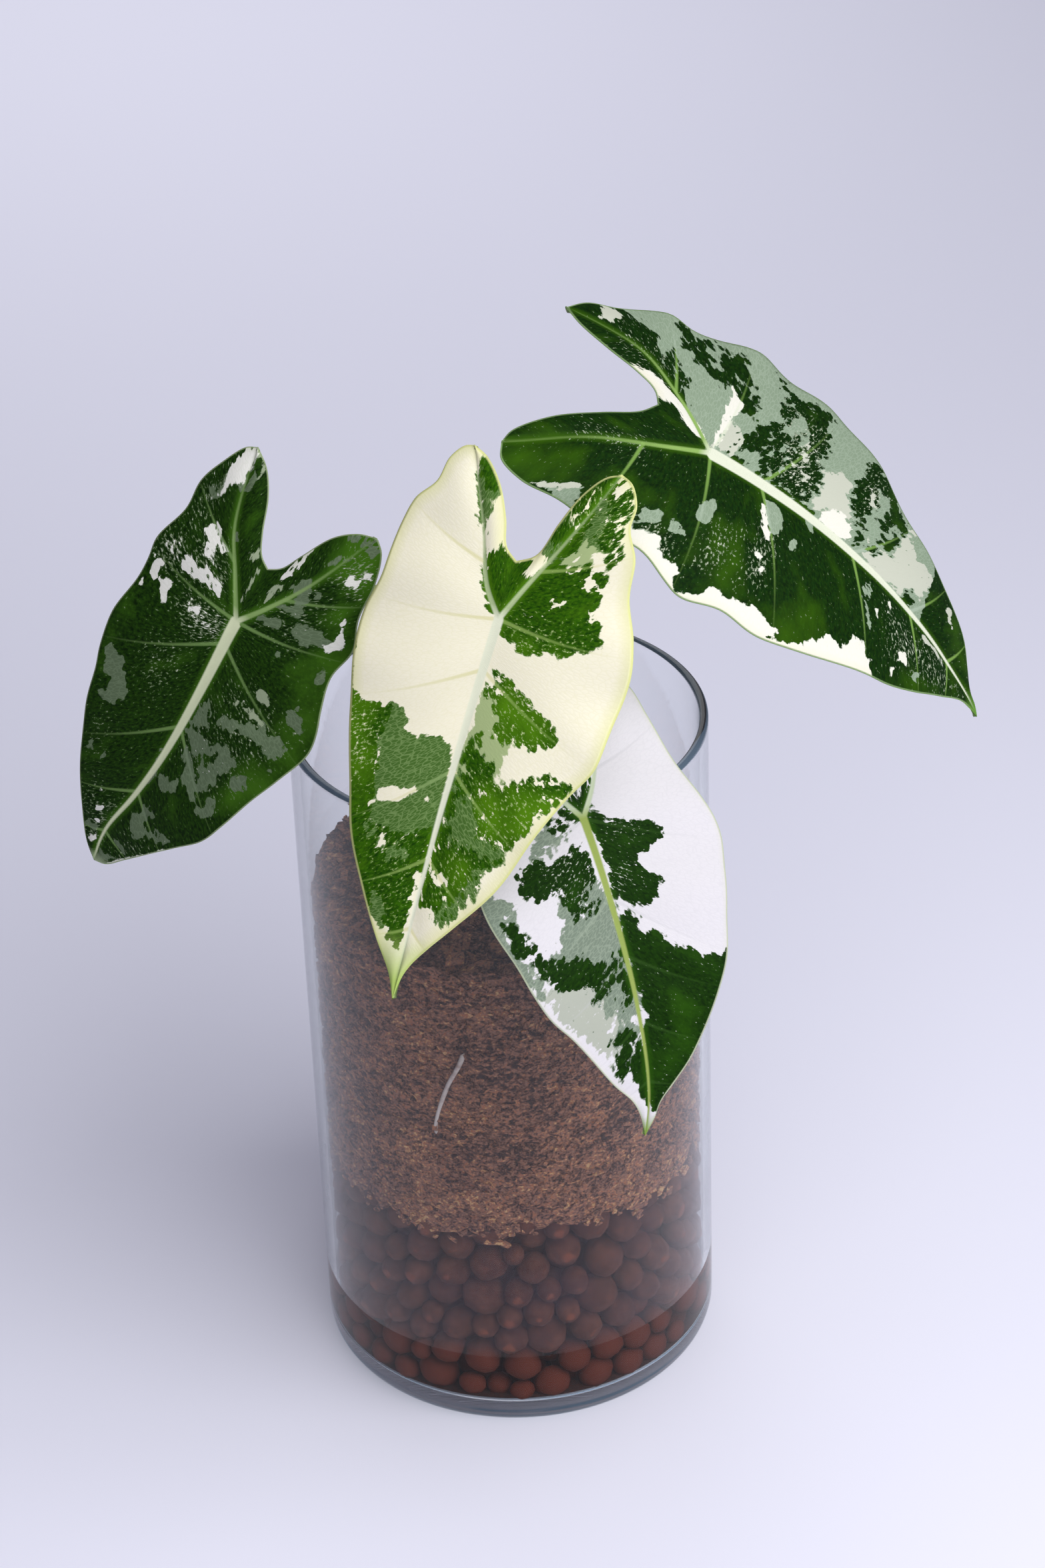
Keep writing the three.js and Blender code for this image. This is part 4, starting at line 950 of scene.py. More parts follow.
# The sectors of each blade, laid one over the other on its ground colour: the level of colour, how
# ragged and speckled the sector is in millimetres, and its outline on the flat blade
GROUNDS = {"front": "white", "low": "white", "left": "green", "right": "green"}
SECTORS = {
    "front": [
        ("green", 2.5, [
            (14, -46), (20, -44.2), (26, -43.6), (33, -42), (33.2, -39), (35, -37.7), (34.7, -26),
            (38.8, -25.5), (47.2, -28), (50, -24.6), (55, -25.2), (66, -24), (70, -22), (71, -12),
            (67, -2), (105, -2.1), (104.2, -6.5), (98, -10), (96, -15), (80, -32), (60, -45),
            (30, -50)]),
        ("sage", 1, [
            (34.7, -26), (34.6, -22), (37, -20), (36, -17), (39.5, -20), (40.6, -18.6), (42, -14.6),
            (40.3, -13), (39, -7.7), (40.5, -4), (45, -2.3), (67, -1.8), (68.3, -6.5), (70, -12),
            (69, -22.7), (59, -24), (50, -24.6), (42.2, -26.4)]),
        ("white", 1, [
            (66, -25), (62.6, -23), (63.9, -21.2), (62.6, -19), (62, -16), (60.4, -12.4), (55, -9.5),
            (56.5, -12), (57.6, -15.3), (58, -19), (59, -21.5), (60.4, -22.8)]),
        ("white", 0.8, [(59.8, -6.5), (59, -5.2), (57, -6.2), (59, -7.4)]),
        ("white", 0.8, [
            (75.8, -18.7), (77.6, -17.4), (77.3, -16), (75.4, -15.6), (72.9, -16.5), (73.9, -18)]),
        ("sage", 2, [(99, -10), (94, -9.5), (91, -12.7), (92, -16), (97, -14)]),
        ("sage", 2, [(79.5, -13.4), (79, -9), (75.5, -7.7), (76, -13)]),
        ("sage", 2, [(75, -23), (75, -20), (72, -20), (72, -23)]),
        ("green", 2.5, [
            (15.3, 3.2), (17.5, 4.8), (19.4, 7.2), (20.3, 2.6), (24, 2.9), (25, 6.9), (26.3, 3.5),
            (28.8, 9.4), (33, 9), (35, 9.8), (36.4, 14.8), (34, 16), (35.3, 20), (35.5, 25),
            (33.4, 25.7), (33, 29), (31.6, 31.3), (29.4, 31), (25.6, 26), (22.5, 20), (19.7, 14.8),
            (17.2, 9.8), (15, 4)]),
        ("white", 0.8, [(20.3, 5.7), (21.9, 6.5), (21.5, 8.2), (20.5, 8)]),
        ("silver", 1.2, [
            (49, 2), (49.5, 7), (49, 11), (46, 12.5), (44, 14.8), (41, 14.3), (36.5, 14.8), (36, 10),
            (33, 9), (28.8, 9.4), (27.5, 7), (24.5, 6.8), (24.2, 3), (27, 2.2)]),
        ("green", 1.2, [(44, 2), (43.8, 4), (39.4, 4), (40, 2)]),
        ("green", 1.2, [(44, 4.5), (42.5, 8.5), (41, 8), (42, 5)]),
        ("green", 1.2, [(46.5, 9), (46, 12), (43.5, 12), (44.5, 9.5)]),
        ("green", 1.2, [(37, 4), (37, 6), (35.3, 5.5), (35.5, 3.5)]),
        ("green", 4, [
            (65.8, 13.5), (66, 18), (65.8, 24.7), (61.4, 27.5), (58.8, 30), (55.3, 30), (51.3, 33.5),
            (49.7, 32.2), (48.8, 36), (44.7, 37.9), (41.9, 39), (43.4, 34.8), (40.6, 31.5),
            (43.7, 28.5), (43.7, 24), (46.2, 23), (47.2, 18.5), (49, 16), (47.5, 12.3), (44, 11.5),
            (46.8, 5), (50, 3), (53, 11), (59, 13)]),
        ("sage", 1.5, [
            (50.5, 1.5), (54, 6), (57, 10), (59.5, 12), (63, 11.3), (66, 13.5), (66, 20), (69, 21),
            (71, 20), (72, 14), (70, 10), (68, 2), (60, 0.8)]),
        ("green", 3, [(66, 1), (66, 3.5), (56, 4), (55, 1)]),
        ("green", 3, [(50.5, 3), (56, 9), (58, 12), (54, 11)]),
        ("green", 3.5, [
            (89.8, 1.3), (90, 7.2), (87, 8.5), (85, 12.3), (82, 13.5), (79.5, 15.4), (76.4, 14.4),
            (74, 17), (72.5, 20), (70.4, 23.5), (71, 18), (70, 12), (69.5, 7), (68.3, 3.5), (70, 0.7),
            (80, 0.3)]),
        ("white", 1, [(79.5, 3.2), (82, 4.8), (82.8, 7), (80.5, 7.2), (78.5, 5.5)]),
        ("sage", 4, [
            (94.5, 8), (93, 11), (90, 13.5), (87, 15), (84, 17), (80, 19), (76, 18), (78, 15.5),
            (84, 13), (87, 10), (90, 9.5)]),
        ("green", 2.2, [
            (1.5, 2.5), (3, 4.8), (4, 8), (6.9, 9.4), (7.2, 12.6), (5.6, 13), (6.2, 16), (5, 19.8),
            (5, 23.5), (2.8, 27.3), (0.6, 31), (-1.1, 34), (-2, 30), (-2.3, 20), (-2.2, 10),
            (-0.5, 4)]),
        ("white", 1.5, [(2.8, 19), (3, 23), (1, 24.8), (-0.8, 23.5), (0.5, 20)]),
        ("green", 1, [(-4, 3), (3, 3), (4.5, 12), (3.5, 26), (-1, 33), (-5, 29), (-4, 12)]),
        ("green", 0.8, [(-3, 2.5), (-8, 4), (-17, 9.8), (-20.5, 13), (-14, 13), (-6, 8)]),
        ("green", 3, [
            (-3, 3.5), (-3.3, 15), (-3.2, 29.7), (-4.6, 32.8), (-7, 31), (-8, 28.8), (-10.5, 28.8),
            (-13, 29.8), (-20, 30.7), (-21.5, 29.5), (-20, 27.5), (-23.3, 24.8), (-22.4, 22.9),
            (-19.6, 20), (-21, 17.9), (-19.9, 14), (-17.4, 11.6), (-11.8, 7.9), (-7.4, 6)]),
        ("white", 1.2, [(-8.6, 15.5), (-8.4, 19), (-9.6, 21.5), (-10.3, 20.5), (-9.5, 17)]),
        ("white", 1.2, [(-15.8, 24), (-16.5, 29), (-19, 29.5), (-18.5, 25.5), (-17, 23.5)]),
        ("silver", 2, [
            (-21.5, 15.5), (-23.5, 20), (-25, 22.7), (-30, 23.5), (-30.5, 19.5), (-27, 18.5),
            (-24.5, 17)]),
        ("green", 2, [
            (-24, 14.5), (-26, 18), (-30, 19.5), (-34, 19.5), (-38, 19), (-33, 16), (-28, 15)]),
        ("sage", 2, [(-30.5, 20), (-31, 24.5), (-35, 25), (-41, 27.5), (-43, 24), (-38, 20)]),
        ("green", 4, [
            (-31, 25), (-29, 28), (-30, 31), (-26, 29.5), (-25.5, 31.5), (-27, 34), (-31, 31),
            (-37, 30), (-42, 31.5), (-48, 30), (-53, 25), (-50, 18), (-44, 13.5), (-38, 12.5),
            (-36, 15), (-40, 19), (-44, 20), (-43, 26), (-38, 25), (-34, 25)]),
        ("white", 3, [(-45.5, 25), (-46, 28.5), (-50, 29), (-51, 26.5), (-48, 25.5)]),
        ("green", 1.5, [
            (-5, 1.2), (-12, 1), (-19.5, 1.5), (-21.5, 4.5), (-17, 5), (-12, 4), (-8, 2.5)]),
        ("white", 1, [
            (-14, 5), (-16.5, 7.5), (-19, 10), (-22, 11.5), (-24.5, 8.5), (-26, 7), (-22, 5),
            (-18, 5)]),
        ("sage", 1.5, [(-22.5, 11), (-26, 13), (-30, 12.5), (-36, 10.5), (-30, 8.5), (-25, 7.5)]),
        ("green", 1.5, [(-26, 11.5), (-30, 13.5), (-33, 12.5), (-30, 10)]),
        ("green", 1.8, [
            (-3, -3), (-6, -5.5), (-11, -8), (-16, -9.6), (-18.5, -9.8), (-19.5, -8), (-18.8, -6),
            (-21, -5), (-19.5, -3.2), (-12, -3.6), (-8, -3.8), (-4, -2.2)]),
        ("green", 1, [(-3, -1.8), (-10, -2), (-18, -1.2), (-18, -0.4), (-8, -0.6), (-3, -0.6)]),
        ("sage", 1.5, [
            (-25, -13.5), (-30, -13.8), (-35, -14), (-37, -13.5), (-38, -15), (-41, -19.5),
            (-37, -18.8), (-32, -16.5), (-27, -14.8)]),
        ("green", 1.5, [
            (-37, -13.8), (-41, -13.5), (-43.5, -16.5), (-47, -20), (-45, -20), (-41, -19),
            (-37, -17)])],
    "low": [
        ("green", 2, [
            (2.5, 2.2), (2.6, 7.2), (3.9, 12.9), (6.6, 21), (9, 24.4), (9.4, 23.2), (11.9, 23.8),
            (12.8, 20), (14, 18.8), (15.3, 16), (15.9, 11.9), (18.1, 12.6), (20.6, 14), (22.8, 17),
            (25.3, 18.8), (26.9, 17.9), (27.8, 16), (30, 15.7), (31.2, 11.3), (29.7, 7.9),
            (25.9, 2.2)]),
        ("green", 2, [
            (39, 2), (38.5, 5), (36.5, 7.5), (34.8, 8.5), (33.5, 6.5), (31.5, 5), (32.5, 2.5),
            (30, 1.8)]),
        ("green", 1, [(2, 2.5), (1.8, 6), (-0.5, 6), (0, 4)]),
        ("green", 1.5, [
            (39, 2), (39.4, 9.8), (40.3, 14), (41.9, 15.4), (43.4, 15), (46.2, 18.2), (47.8, 22.9),
            (49.8, 24.2), (51.6, 25.4), (51.6, 28.5), (51, 31), (52.8, 32.2), (50.4, 35), (60, 38),
            (80, 24), (98, 6), (96, 0), (90, -1.3), (84, 0.4), (75, 1), (70, 1.5), (65, 4), (62, 3),
            (58, 3.5), (55, 2), (47, 1.5)]),
        ("green", 2.5, [
            (17.5, -28.2), (19.4, -27.3), (21, -24.8), (21.9, -22), (20.5, -15.5), (23.8, -14.8),
            (24.7, -12.9), (26, -12.5), (24, -10), (23, -6.5), (20.5, -4.5), (20.5, -2.4), (7, -2.6),
            (7, -6), (9, -8), (10.5, -12), (10.8, -17), (9, -20), (10.2, -24), (12, -27.5),
            (15, -27.2)]),
        ("sage", 1.5, [
            (39.7, -19.8), (42, -19), (41.5, -14), (44, -11), (46.5, -8.5), (50, -6), (60, -1), (60, 0),
            (44, 0), (28, -1), (27, -3), (28.5, -6), (29.6, -12), (25, -12.5), (25.6, -16),
            (27.5, -17.6), (29.4, -15.4), (31, -17.2), (35, -20), (36, -18.5), (38, -20)]),
        ("sage", 1.5, [(27, -8), (27, -3), (21, -2.6), (20.5, -5), (23, -7)]),
        ("sage", 2.5, [
            (24.5, -38.5), (24, -33.5), (22.5, -31), (20, -33), (18, -36), (16, -37.5), (17, -39.5),
            (21, -39.5)]),
        ("green", 4, [
            (30, -12.6), (30.3, -9), (28.5, -5), (26.5, -2.8), (25, -5), (26, -9), (24.8, -12.5)]),
        ("green", 3.2, [
            (44, -28.5), (42.5, -26), (41, -24), (39, -26), (37.5, -26.5), (35, -27), (34.5, -29.5),
            (32.5, -29), (30.5, -30), (29, -32), (26, -32.5), (25, -36.5), (28, -37), (31, -35.5),
            (36, -35), (38, -33.5), (38, -30), (40, -29)]),
        ("green", 2.5, [
            (45.3, -26), (48, -24.8), (50.7, -22), (50.2, -17), (50.8, -12), (48.5, -9.5), (46, -9.8),
            (43, -12.5), (41.9, -14), (42.2, -18.5), (41, -21.5), (43, -23.2), (44.5, -24.8)]),
        ("silver", 2.5, [
            (51.6, -26.5), (56.6, -26), (61.6, -22.8), (65.4, -17.8), (69, -15.3), (74, -12.4),
            (72, -10.2), (69.5, -9.5), (67.2, -7), (65, -6.5), (66.5, -9.5), (61, -10), (56, -9),
            (52, -8.5), (51, -12), (50.5, -20)]),
        ("sage", 2, [
            (68, -4), (67.5, -1), (64, 0), (56, 0), (51, -1), (50.5, -5), (54, -8.5), (58, -10),
            (61, -9), (60.5, -6), (62, -5.5), (65, -5)]),
        ("green", 2, [(56, -12.5), (56.5, -9), (55, -7), (52.5, -6.5), (53.5, -10), (55, -11)]),
        ("green", 3.5, [
            (59.5, -3.5), (58.5, -0.5), (55, 0), (51, 0), (50, -1.5), (54, -1.5), (56.5, -2.5)]),
        ("green", 2, [
            (51, -12), (51, -6.5), (49, -4), (46, -3), (44, -0.5), (44, -2), (47, -6), (48, -10)]),
        ("green", 2, [
            (82.5, -8), (81, -7.5), (80.5, -4.5), (78, -6), (76.5, -8.3), (78, -10), (80, -9.8)]),
        ("green", 2, [(83.5, -2.5), (81, -1), (77, -0.5), (76, -1.8), (80, -3)]),
        ("green", 2, [
            (75.3, -6), (73.5, -4.5), (72, -1.5), (70, -0.5), (69, -3), (68, -4.5), (69, -8), (71, -8),
            (72, -6)]),
        ("green", 1, [(90, -1.2), (86, -0.8), (83, 0), (88, 0.5)]),
        ("sage", 2, [(7, -19.5), (6.5, -14), (5, -11), (1, -13.5), (3, -16), (5, -18.5)]),
        ("green", 3, [
            (3, -11), (3, -8.5), (1.5, -7), (-1, -6.5), (-2.5, -7), (-1, -9.5), (-2, -11),
            (0.5, -12.5)]),
        ("green", 3, [(0, -2.5), (0, 1), (-5, 3), (-10, 6), (-14, 5), (-8, 0), (-5, -5), (-2, -4)]),
        ("green", 3, [(-16, -24), (-20, -30), (-30, -28), (-40, -24), (-38, -18), (-28, -17)]),
        ("sage", 1.2, [
            (16, -39), (26, -37.5), (40, -33.5), (50, -29), (50, -30.5), (38, -36), (24, -40)])],
    "left": [
        ("sage", 1.5, [
            (35.9, -33.4), (33, -33.1), (34, -30.6), (33.7, -25), (36.2, -24.7), (39.6, -21.3),
            (41.5, -18.8), (45.3, -19), (48.7, -21.3), (50, -25.3), (48.4, -28), (46.5, -25.3),
            (42.4, -26.6), (42, -30), (38.4, -31.9)]),
        ("white", 1.5, [(5, -34.5), (6.5, -31), (4, -30.5), (0, -31), (0, -34), (2.5, -34.8)]),
        ("white", 1.5, [
            (5.5, -30), (8, -27), (10.5, -24.5), (9.5, -23.5), (5, -24.5), (3.2, -25.5), (3.5, -29)]),
        ("white", 1, [(11, -35), (10, -33.7), (8, -34.5), (9.5, -35.2)]),
        ("white", 1.5, [(7, -15.5), (6.5, -12), (4, -12), (3.5, -14), (5.5, -15.8)]),
        ("white", 2.6, [
            (-2.5, -25.5), (-2.8, -18), (-3, -9), (-5, -10), (-7, -10.5), (-6, -14), (-8.5, -18),
            (-6, -20), (-7, -22.5), (-8.5, -25), (-6, -27), (-4.5, -25.5)]),
        ("white", 1.8, [
            (-10.5, -20), (-10, -16.5), (-12.5, -18.5), (-14.5, -19), (-15, -16), (-16.5, -15),
            (-17.5, -18), (-20.5, -21), (-21, -24.5), (-17.5, -25.5), (-14.5, -23.5), (-13, -22)]),
        ("white", 1.5, [
            (-26, -30), (-28, -28), (-32, -26.5), (-35, -25.5), (-36.5, -24), (-34, -22.5), (-38, -23),
            (-40, -24.5), (-42, -23), (-45, -24), (-48, -22.5), (-49, -27), (-46.5, -29.5), (-42, -30),
            (-36, -30), (-31, -29.5)]),
        ("sage", 1.5, [(-27, -32), (-28, -30), (-33, -29.5), (-31, -31), (-29, -33)]),
        ("sage", 1.5, [(-35, -22), (-36, -20), (-40, -20), (-42, -22.5)]),
        ("silver", 1.2, [(-40, -20), (-43, -20.5), (-47, -23), (-44, -19.5)]),
        ("silver", 1.2, [(-18, -8), (-19, -6), (-21, -5.5), (-24, -7.5), (-21, -8)]),
        ("silver", 1, [(-6, -1.6), (-12, -2), (-18, -2.9), (-18, -3.8), (-12, -3.1), (-6, -2.4)]),
        ("sage", 1.5, [(-19, -17), (-21, -14), (-23, -15.5), (-21.5, -17)]),
        ("sage", 1.5, [(-5, 5.5), (-5.5, 8), (-7, 12), (-6, 14.5), (-9.5, 13), (-8.5, 9), (-7, 6)]),
        ("sage", 1.8, [
            (-9, 18), (-7.5, 24), (-10, 26), (-12, 29), (-14.5, 30), (-15.5, 26), (-13.5, 20),
            (-12, 18)]),
        ("sage", 1.8, [
            (-12.5, 9), (-14, 17), (-19, 17), (-22, 16), (-26, 13.5), (-24.5, 11), (-20, 9),
            (-19, 12.5), (-15, 13), (-13.5, 10)]),
        ("sage", 1.2, [(-22, 18), (-23, 20), (-25, 19), (-24, 17)]),
        ("sage", 1.2, [(-1.5, 33.5), (-2, 36), (-6, 35.5), (-6.5, 33), (-4, 32.5)]),
        ("sage", 1.2, [(0, 17.5), (0, 19.5), (-2, 18.5)]),
        ("white", 1.5, [
            (-10.3, 29.7), (-11.5, 32), (-14, 34.5), (-16.5, 35), (-19, 32), (-22, 31.5), (-23.5, 30),
            (-20.5, 30), (-19.5, 31), (-16, 31.5), (-13, 30.5)]),
        ("silver", 1.5, [(-11, 5), (-14, 5.5), (-18, 7), (-19.5, 6.5), (-17, 4.5), (-13, 4)]),
        ("white", 2.5, [(-20, 5.2), (-22, 7), (-27, 8), (-34, 8), (-31, 6.5), (-26, 5.5), (-22, 4.5)]),
        ("white", 1.5, [(-32, 24), (-33, 28), (-36, 27), (-35, 23.5)]),
        ("white", 1.2, [(-37, 27.5), (-38, 30), (-40, 29), (-39, 27)]),
        ("sage", 1.5, [(-33.5, 15.5), (-36, 18), (-39, 20.5), (-38, 17)]),
        ("sage", 4, [(-43, 15), (-45, 19), (-44, 26), (-47, 27), (-50, 23), (-47, 17)]),
        ("sage", 1.8, [
            (54, 18.5), (52, 21), (48, 22.8), (44, 23), (41.5, 24.5), (38.5, 25.5), (37.5, 28.5),
            (36, 25), (34, 22), (34, 19), (36.5, 16.5), (37, 10), (37.5, 5.5), (35, 5), (40, 4.5),
            (42, 8), (45, 12), (49, 16)]),
        ("green", 1, [
            (46.5, 18.5), (45, 16.5), (42, 14), (41, 15.5), (39, 18.5), (41, 18.8), (44, 17.5)]),
        ("sage", 1.8, [
            (46.5, 29.5), (44, 31.5), (41.5, 33), (40, 32.5), (38, 31.5), (39, 29.5), (41, 27),
            (43, 27)]),
        ("sage", 1.5, [(48, 8), (50, 12), (53, 15.5), (50, 14.5), (46, 11), (44, 8), (46, 7)]),
        ("sage", 1.5, [
            (63.5, 6.5), (62, 9), (60, 12), (56, 12), (55, 10.5), (58, 9), (57, 5.5), (60, 4)]),
        ("sage", 1.5, [
            (58, 18), (59, 21), (57, 19.5), (54, 18), (50, 15.5), (50, 11), (54, 11.5), (56, 15)]),
        ("sage", 1.5, [
            (60.5, 20.5), (61, 24), (58.5, 27), (57, 27.5), (53, 26.5), (51.5, 24), (54, 23),
            (57, 23.5), (59, 21)]),
        ("sage", 1.5, [(66, 1), (62, 2.8), (52, 2.2), (50, 0)]),
        ("sage", 3, [
            (30, 13.5), (30.5, 17), (28.5, 20), (26.5, 24), (27, 29), (28, 35), (26, 37.5), (23.5, 39),
            (21.5, 36), (20.5, 33.5), (22.5, 31), (20, 26.5), (22, 24.5), (24, 22), (25.5, 18),
            (27, 14)]),
        ("silver", 1, [(21.5, 14.5), (21, 17), (20, 16), (20, 14)]),
        ("silver", 1.5, [(21.8, 20.5), (21.5, 24), (20, 26.5), (19.3, 24), (18.7, 20.5), (20, 18.5)]),
        ("silver", 1.5, [(15.5, 20.5), (15, 25), (13, 25), (11, 21), (13, 19)]),
        ("sage", 2.5, [(14, 31), (15, 35), (17, 38), (13, 39), (10.5, 36), (8, 34.5), (10, 31.5)]),
        ("sage", 1.2, [(32, 36), (31, 38.5), (29.5, 38), (31, 36.5)]),
        ("sage", 5, [(37, 4.5), (36, 8), (33, 11.5), (28, 9), (26, 6), (30, 4.5)]),
        ("sage", 3.5, [
            (85, 3), (85.5, 6), (82, 10), (81, 13.5), (79.5, 16), (77, 17.5), (76, 12), (78, 10.5),
            (79, 8), (76, 7.5), (73, 9), (71, 6), (72, 4), (76, 3.5), (78, 1.5), (82, 2.5)]),
        ("sage", 1.5, [(94.5, 0), (94.5, 4.5), (92, 4), (91.5, 0), (92.5, -1.5)]),
        ("sage", 1.5, [(104, -4), (103, -1), (99, 1.5), (97.5, 4), (99, 0), (100, -4.5)]),
        ("sage", 1.5, [(95, -13), (94.5, -9), (92, -8), (92.5, -12)]),
        ("sage", 1.5, [(70, -24), (68, -21), (64, -23)]),
        ("sage", 1.5, [(69, -17), (66, -15.5), (65, -17)]),
        ("white", 0.8, [(99, -9.5), (99.5, -8), (97, -7), (95.5, -7.8), (97.5, -9.5)]),
        ("white", 0.8, [(91, -10), (91, -8), (89.5, -7.5), (89.8, -9.5)]),
        ("white", 0.8, [(86.5, -11), (85, -9), (83.5, -9), (85, -11.5)]),
        ("white", 0.8, [(82, -7), (81, -5.5), (79.5, -4), (81, -6.5)]),
        ("white", 0.8, [(80, -13), (78.5, -12), (78, -12.8)]),
        ("white", 0.6, [
            (105, -2), (97, 4), (88, 11.5), (80, 17.5), (82, 19), (90, 13), (99, 6), (107, -1)])],
    "right": [
        ("sage", 1.5, [
            (93.5, 1), (93.8, 26), (91, 35), (60, 52), (20, 60), (-20, 55), (-36, 50), (-46, 40),
            (-52, 37), (-45, 31), (-38, 34), (-30, 31.5), (-26, 25), (-22, 20), (-14, 13), (-2, 3),
            (0, 2)]),
        ("silver", 2, [
            (90.5, 9.5), (93.5, 19), (93.5, 22), (88, 23), (84, 21.5), (82, 25), (80, 30), (84, 32.5),
            (80, 36), (77, 32), (75.5, 26), (74.5, 20), (72, 15), (68, 12.5), (64.5, 9.5), (62, 14),
            (62, 4), (72, 2.5), (82, 4.5), (84, 8)]),
        ("silver", 1.5, [
            (37, 6), (38, 13), (38, 23), (42, 24.5), (44.5, 27.5), (51, 26.5), (50.5, 20), (53.5, 15),
            (54, 11), (48, 12), (43, 8), (40, 5)]),
        ("white", 1.2, [
            (57, 4), (55, 11), (52, 11.5), (49, 12.5), (45.5, 10), (43, 7), (41, 5), (45, 3)]),
        ("green", 4, [
            (55, 11), (57.5, 12), (58.5, 17), (59, 20), (62, 24), (62.5, 30), (61, 33), (64, 35),
            (66, 40), (60, 43), (56, 44), (54.5, 41), (54.5, 36), (53, 32), (51, 29), (51.5, 24),
            (50.8, 20), (52, 17), (54.5, 15.5), (54, 12)]),
        ("silver", 1.5, [(60.5, 26), (60, 32), (58, 30), (58, 25.5)]),
        ("green", 2, [(57.5, 5), (60, 8), (59.5, 13), (57, 6)]),
        ("green", 2, [
            (69, 13), (73, 15), (74, 19), (75, 22.5), (74, 24.5), (72, 21), (69, 17), (67, 15)]),
        ("green", 1.5, [(66, 8), (66.5, 11), (64.5, 10.5), (63.5, 8)]),
        ("green", 3, [
            (77, 28), (77.5, 31), (75, 33), (72, 35), (69, 35), (68, 31), (66, 24), (64.5, 20),
            (66.5, 19), (70, 24), (72.5, 28), (75, 26.5)]),
        ("green", 3, [(70, 36), (68, 40), (62, 42), (62, 34), (66, 34)]),
        ("green", 3, [(88, 8), (87, 8.5), (84, 6), (82, 3.5), (83, 2.5), (86, 3)]),
        ("green", 4.5, [
            (40, 4), (37, 4.5), (35.5, 8), (37.5, 12), (38.7, 15.5), (37.5, 19), (38.5, 22), (37, 26),
            (38, 31), (37.5, 36), (37.7, 40), (36.5, 45), (38, 47.5), (34, 48), (29, 47), (25.5, 44.5),
            (22, 46), (18, 48), (15, 50.5), (14, 50), (16, 46), (19, 42.5), (21, 38), (24.5, 38.5),
            (27, 36), (29, 32.5), (30, 30), (29.5, 27), (26.5, 24), (25, 20), (24, 15), (22.5, 11),
            (23.5, 8), (25, 6), (23, 3.5), (27, 4), (35, 4)]),
        ("silver", 1, [(32, 10), (33.5, 14), (32, 14), (31.5, 11)]),
        ("silver", 1, [(27, 14.5), (29, 18), (31, 21), (30, 19), (27, 16)]),
        ("silver", 1, [(28.5, 22), (31.5, 26), (31, 29), (29.5, 26)]),
        ("green", 4, [
            (21, 6), (17, 4), (15.2, 7), (17, 12), (18, 16), (16.5, 19), (15.5, 22), (18, 28),
            (17.5, 32), (16.3, 34), (17, 37.5), (20, 36.5), (22.5, 36), (21, 31), (21.5, 27),
            (24.5, 26), (26.5, 30), (26, 25), (24, 21), (22, 16)]),
        ("green", 1.5, [(14.5, 14), (15, 19), (14.5, 23), (12.5, 20), (11, 15), (10.2, 11), (12, 11)]),
        ("green", 1.2, [(9.5, 9), (10, 14), (8, 12), (7.5, 10)]),
        ("green", 1.2, [(8, 23), (8.5, 26), (6.5, 28), (6, 24)]),
        ("green", 1.2, [(8.5, 29), (8, 33), (7, 31), (7, 29)]),
        ("green", 1.5, [(4, 25), (4, 35), (2, 33), (2.5, 28)]),
        ("green", 1.2, [(4, 37.5), (4, 41.5), (2, 40), (2, 37)]),
        ("green", 1.2, [(11, 3), (9, 4.5), (7, 3)]),
        ("green", 2.5, [
            (0, 29.5), (0, 38), (1, 46.5), (-2, 46), (-5, 45.5), (-5.5, 42), (-7.5, 41), (-5.5, 37),
            (-5, 35), (-7.5, 33), (-8, 30), (-5, 29), (-3, 30)]),
        ("green", 3.5, [
            (-9.8, 32.5), (-10.5, 38), (-13, 41), (-9, 44.5), (-14, 44.5), (-15, 40), (-17, 43),
            (-20, 41), (-20, 36), (-17, 34.5), (-14.5, 32.5)]),
        ("green", 1.5, [(-20, 42), (-23, 46), (-24.5, 45.5), (-23, 43), (-21, 41)]),
        ("green", 1.8, [
            (-15, 20), (-15.5, 23), (-17.5, 25.5), (-18.8, 25), (-18, 21), (-19.5, 18), (-18, 17)]),
        ("green", 1.8, [(-21.3, 25), (-21.5, 28.5), (-24, 30.5), (-23.5, 27), (-22.3, 23)]),
        ("green", 2, [
            (-14, 11.5), (-16.5, 14), (-20, 18), (-22.5, 20), (-25, 22), (-27, 25), (-28.5, 28.5),
            (-31, 30), (-30, 34.5), (-33, 34), (-36, 36.5), (-39, 37), (-41, 38.5), (-44, 38),
            (-46, 37.5), (-44, 35), (-44.5, 31), (-46, 30.5), (-50, 31), (-52, 34), (-56, 33),
            (-60.5, 28), (-57, 26), (-48, 23), (-42, 20), (-36, 18), (-30, 17), (-25, 17), (-20, 14),
            (-17, 12.5)]),
        ("silver", 2.5, [
            (-45, 30.5), (-44.5, 33), (-42, 36), (-46, 37), (-50, 36), (-49, 31), (-47, 30)]),
        ("white", 1, [
            (-1, 2), (-6, 6.5), (-12, 10.5), (-18, 13), (-22, 16), (-27, 17.7), (-31, 17), (-36, 17),
            (-30, 14.5), (-25, 12), (-22, 9), (-15, 7.5), (-21, 6.5), (-12, 4.8), (-5, 2.8)]),
        ("green", 0.8, [(-13, 7), (-17, 8), (-21, 8), (-21, 7), (-16, 6.8)]),
        ("silver", 2.5, [(0, 3), (7, 4), (8, 12), (5, 17), (1, 16)]),
        ("white", 1.2, [
            (1, 4), (1.5, 14), (3, 20), (4.5, 22), (4.8, 25), (2, 28), (0, 30), (-0.5, 16), (-0.5, 5)]),
        ("white", 1.5, [
            (84, -32), (80, -29), (80, -26), (77, -27), (75, -22), (72, -24), (70, -23.5), (69, -28),
            (66, -31), (61, -30.2), (58, -35), (55.4, -36.8), (54, -40), (49, -43.7), (41.6, -46),
